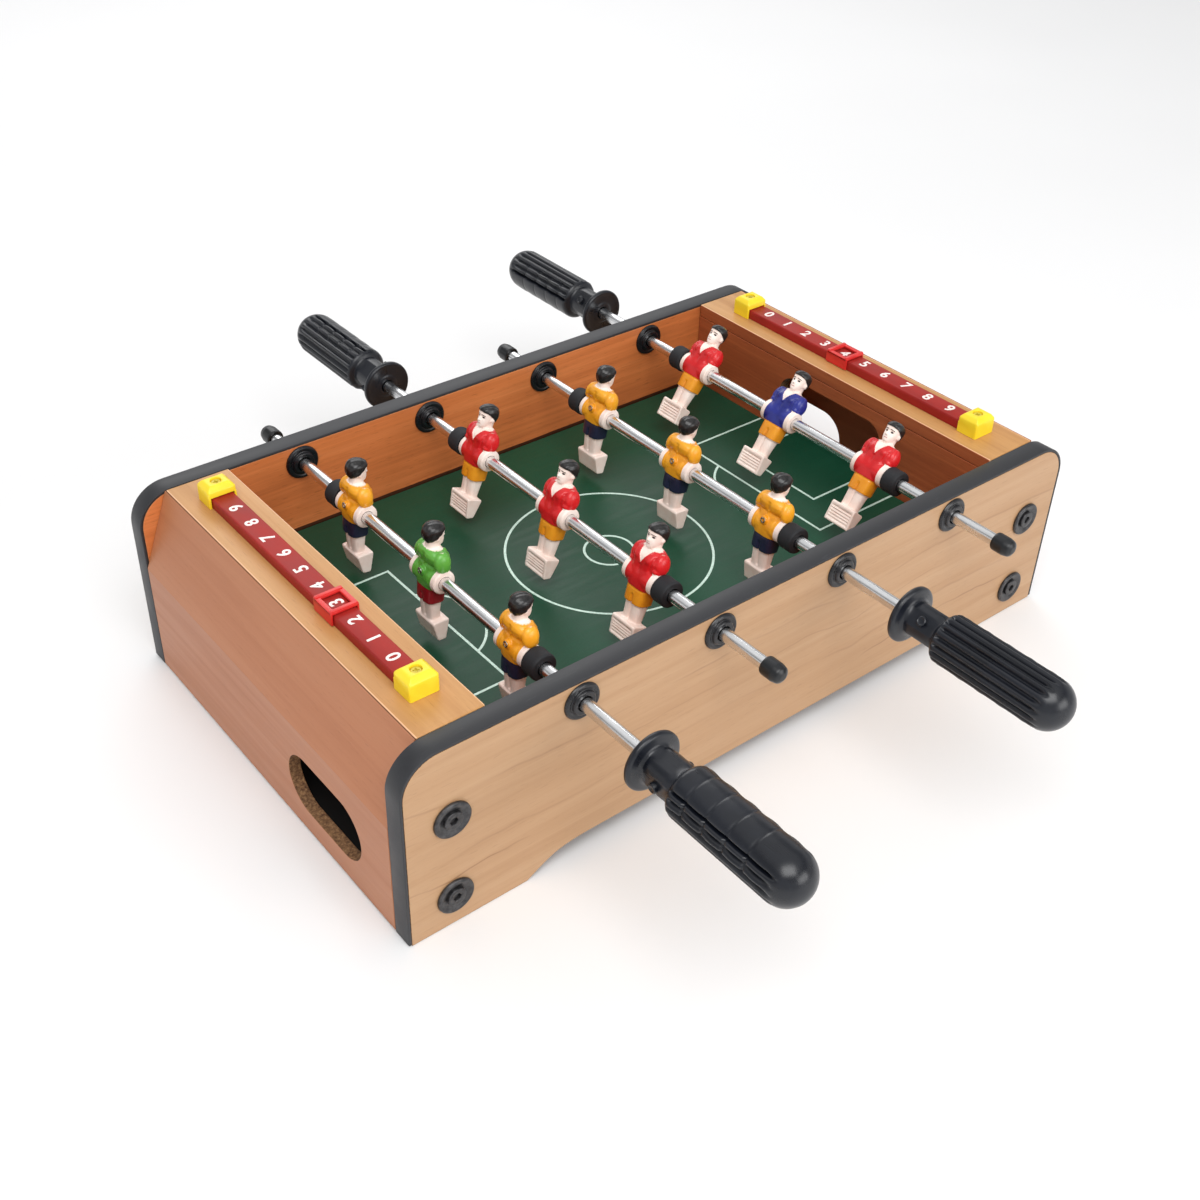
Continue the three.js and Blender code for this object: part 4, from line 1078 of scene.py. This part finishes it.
for i in range(4):
    n = i + 1
    team, stops = f"rod_{n}_team", f"rod_{n}_stops"
    shift = Matrix.Translation((ROD_X[i], ROD_SHIFT[i], ROD_Z))
    turning = shift @ Matrix.Rotation(math.radians(ROD_TILT[i]), 4, "Y")
    hand = ROD_HAND[i]
    cap_end = Y_OUT + CAP_END - 2.7
    handle_end = Y_OUT + HANDLE_FACE + HANDLE_BORE - 0.4
    lo, hi = (-handle_end, cap_end) if hand < 0 else (-cap_end, handle_end)
    rod_profile = [(0, lo), (ROD_R - 0.4, lo), (ROD_R, lo + 0.4), (ROD_R, hi - 0.4), (ROD_R - 0.4, hi), (0, hi)]
    build(f"steel_rod_{n}", *lathe(rod_profile, 64), matrix=turning, body=team, mats=[M["steel"]], slot="rod_steel", stands_for=[f"rod_{n}"])
    flip = Matrix.Rotation(math.pi, 4, "X") if hand < 0 else Matrix.Identity(4)
    at = Matrix.Translation((0, hand * (Y_OUT + HANDLE_FACE), 0)) @ flip @ Matrix.Rotation(math.radians((PANEL_AT[i] - ROD_TILT[i]) * (1 if hand > 0 else -1) + (180 if hand < 0 else 0)), 4, "Y")
    shell = handle_shell(BOSS_AT[i] * (1 if hand > 0 else -1))
    build(f"grip_{n}", *shell, matrix=turning @ at, body=team, mats=[M["grip"]], angle=40, slot="grip_black", stands_for=[f"handle_{n}"])
    flip = Matrix.Rotation(math.pi, 4, "X") if hand > 0 else Matrix.Identity(4)
    at = Matrix.Translation((0, -hand * (Y_OUT + CAP_END - CAP_L), 0)) @ flip
    build(f"rod_end_{n}", *lathe(cap_profile, 48), matrix=turning @ at, body=team, mats=[M["cap"]], slot="bush_black", stands_for=[f"rod_cap_{n}"])
    for j in range(3):
        at = turning @ Matrix.Translation((0, (j - 1) * FIG_PITCH, 0)) @ Matrix.Rotation(0 if i % 2 == 0 else math.pi, 4, "Z")
        kit = squads[i][j]
        place(f"player_{n}_{places[j]}", figure_master.copy(), at, team, [SHIRTS[kit]], 60, [f"figure_{n}_{places[j]}"])
        sc = moved(cross_head(1.30, -0.5, 0.42), Matrix.Translation((-5.55, 0, 2.7)) @ Matrix.Rotation(-math.pi / 2, 4, "Y") @ Matrix.Rotation(0.5 * j + i, 4, "Z"))
        build(f"player_screw_{n}_{places[j]}", *sc, matrix=at, body=team, mats=[M["screw"]])
    for side, s in (("front", -1), ("rear", 1)):
        at = shift @ Matrix.Translation((0, s * (FIG_PITCH + HUB_HALF + 0.3 + BUMPER_L / 2), 0))
        build(f"stop_{n}_{side}", *lathe(bumper_profile, 56, True), matrix=at, body=stops, mats=[M["rubber"]], slot="bumper_rubber", stands_for=[f"bumper_{n}_{side}"])

bpy.data.meshes.remove(figure_master)

# ------------------------------------------------------------ floor and light
bm = bmesh.new()
bmesh.ops.create_grid(bm, x_segments=1, y_segments=1, size=6.0)
fm = bpy.data.meshes.new("floor")
bm.to_mesh(fm)
bm.free()
floor = bpy.data.objects.new("floor", fm)
floor.location = (0, 0, -0.0002)
scene.collection.objects.link(floor)
k = Look("floor_pale")
n = k.noise(k.scaled(k.obj(), (3, 3, 3)), 1, 2)
fm.materials.append(k.finish(k.ramp(n, (0.3, (0.86, 0.86, 0.86, 1)), (0.7, (0.88, 0.88, 0.88, 1))), 0.6))

world = bpy.data.worlds.new("studio")
scene.world = world
world.use_nodes = True
wt = world.node_tree
wt.nodes.clear()
wo = wt.nodes.new("ShaderNodeOutputWorld")
wb = wt.nodes.new("ShaderNodeBackground")
wr = wt.nodes.new("ShaderNodeValToRGB")
ws = wt.nodes.new("ShaderNodeSeparateXYZ")
wc = wt.nodes.new("ShaderNodeTexCoord")
wt.links.new(wc.outputs["Generated"], ws.inputs[0])
wm = wt.nodes.new("ShaderNodeMath")
wm.operation = "MULTIPLY_ADD"
wm.inputs[1].default_value, wm.inputs[2].default_value = 0.5, 0.5
wt.links.new(ws.outputs[2], wm.inputs[0])
wt.links.new(wm.outputs[0], wr.inputs[0])
e = wr.color_ramp.elements
e[0].position, e[0].color = 0.0, (0.6, 0.6, 0.6, 1)
e[1].position, e[1].color = 1.0, (1.0, 1.0, 1.0, 1)
for pos, v in ((0.5, 0.62), (0.58, 0.95), (0.66, 0.95), (0.74, 0.34), (0.81, 0.36), (0.88, 1.0)):
    el = e.new(pos)
    el.color = (v, v, v * 1.01, 1)
wt.links.new(wr.outputs[0], wb.inputs[0])
wb.inputs[1].default_value = 0.85
wt.links.new(wb.outputs[0], wo.inputs[0])


def area_light(name, at, aim, size, size_y, watts, tint=(1, 1, 1)):
    l = bpy.data.lights.new(name, "AREA")
    l.shape, l.size, l.size_y, l.energy, l.color = "RECTANGLE", size, size_y, watts, tint
    o = bpy.data.objects.new(name, l)
    o.location = at
    o.rotation_mode = "QUATERNION"
    o.rotation_quaternion = (Vector(aim) - Vector(at)).to_track_quat("-Z", "Y")
    scene.collection.objects.link(o)


area_light("key", (-0.45, -0.75, 1.25), (0, 0, 0.04), 1.1, 0.8, 13.0)
area_light("front_fill", (0.35, -1.5, 0.55), (0, 0, 0.04), 1.0, 0.6, 7.0)
area_light("back_rim", (0.5, 1.2, 0.95), (0, 0, 0.04), 1.2, 0.5, 6.0)

# -------------------------------------------------------------------- camera
F_PX, CX, CY = 1481.99, 589.11, 563.02
CAM = (-343.607, -405.446, 415.090)
RX = (0.7841363, -0.6202008, 0.0219368)
RY = (-0.3479509, -0.4686436, -0.8119749)
RZ = (0.5138680, 0.6290661, -0.5832799)
cam_data = bpy.data.cameras.new("camera")
cam = bpy.data.objects.new("camera", cam_data)
scene.collection.objects.link(cam)
cam.matrix_world = Matrix((
    (RX[0], -RY[0], -RZ[0], CAM[0] * MM),
    (RX[1], -RY[1], -RZ[1], (CAM[1] + SET_BACK) * MM),
    (RX[2], -RY[2], -RZ[2], CAM[2] * MM),
    (0, 0, 0, 1)))
cam_data.sensor_width = 36.0
cam_data.lens = F_PX * 36.0 / 1200
cam_data.shift_x = (600 - CX) / 1200
cam_data.shift_y = (CY - 600) / 1200
cam_data.clip_start, cam_data.clip_end = 0.01, 50
scene.camera = cam
scene.view_settings.view_transform = "Standard"
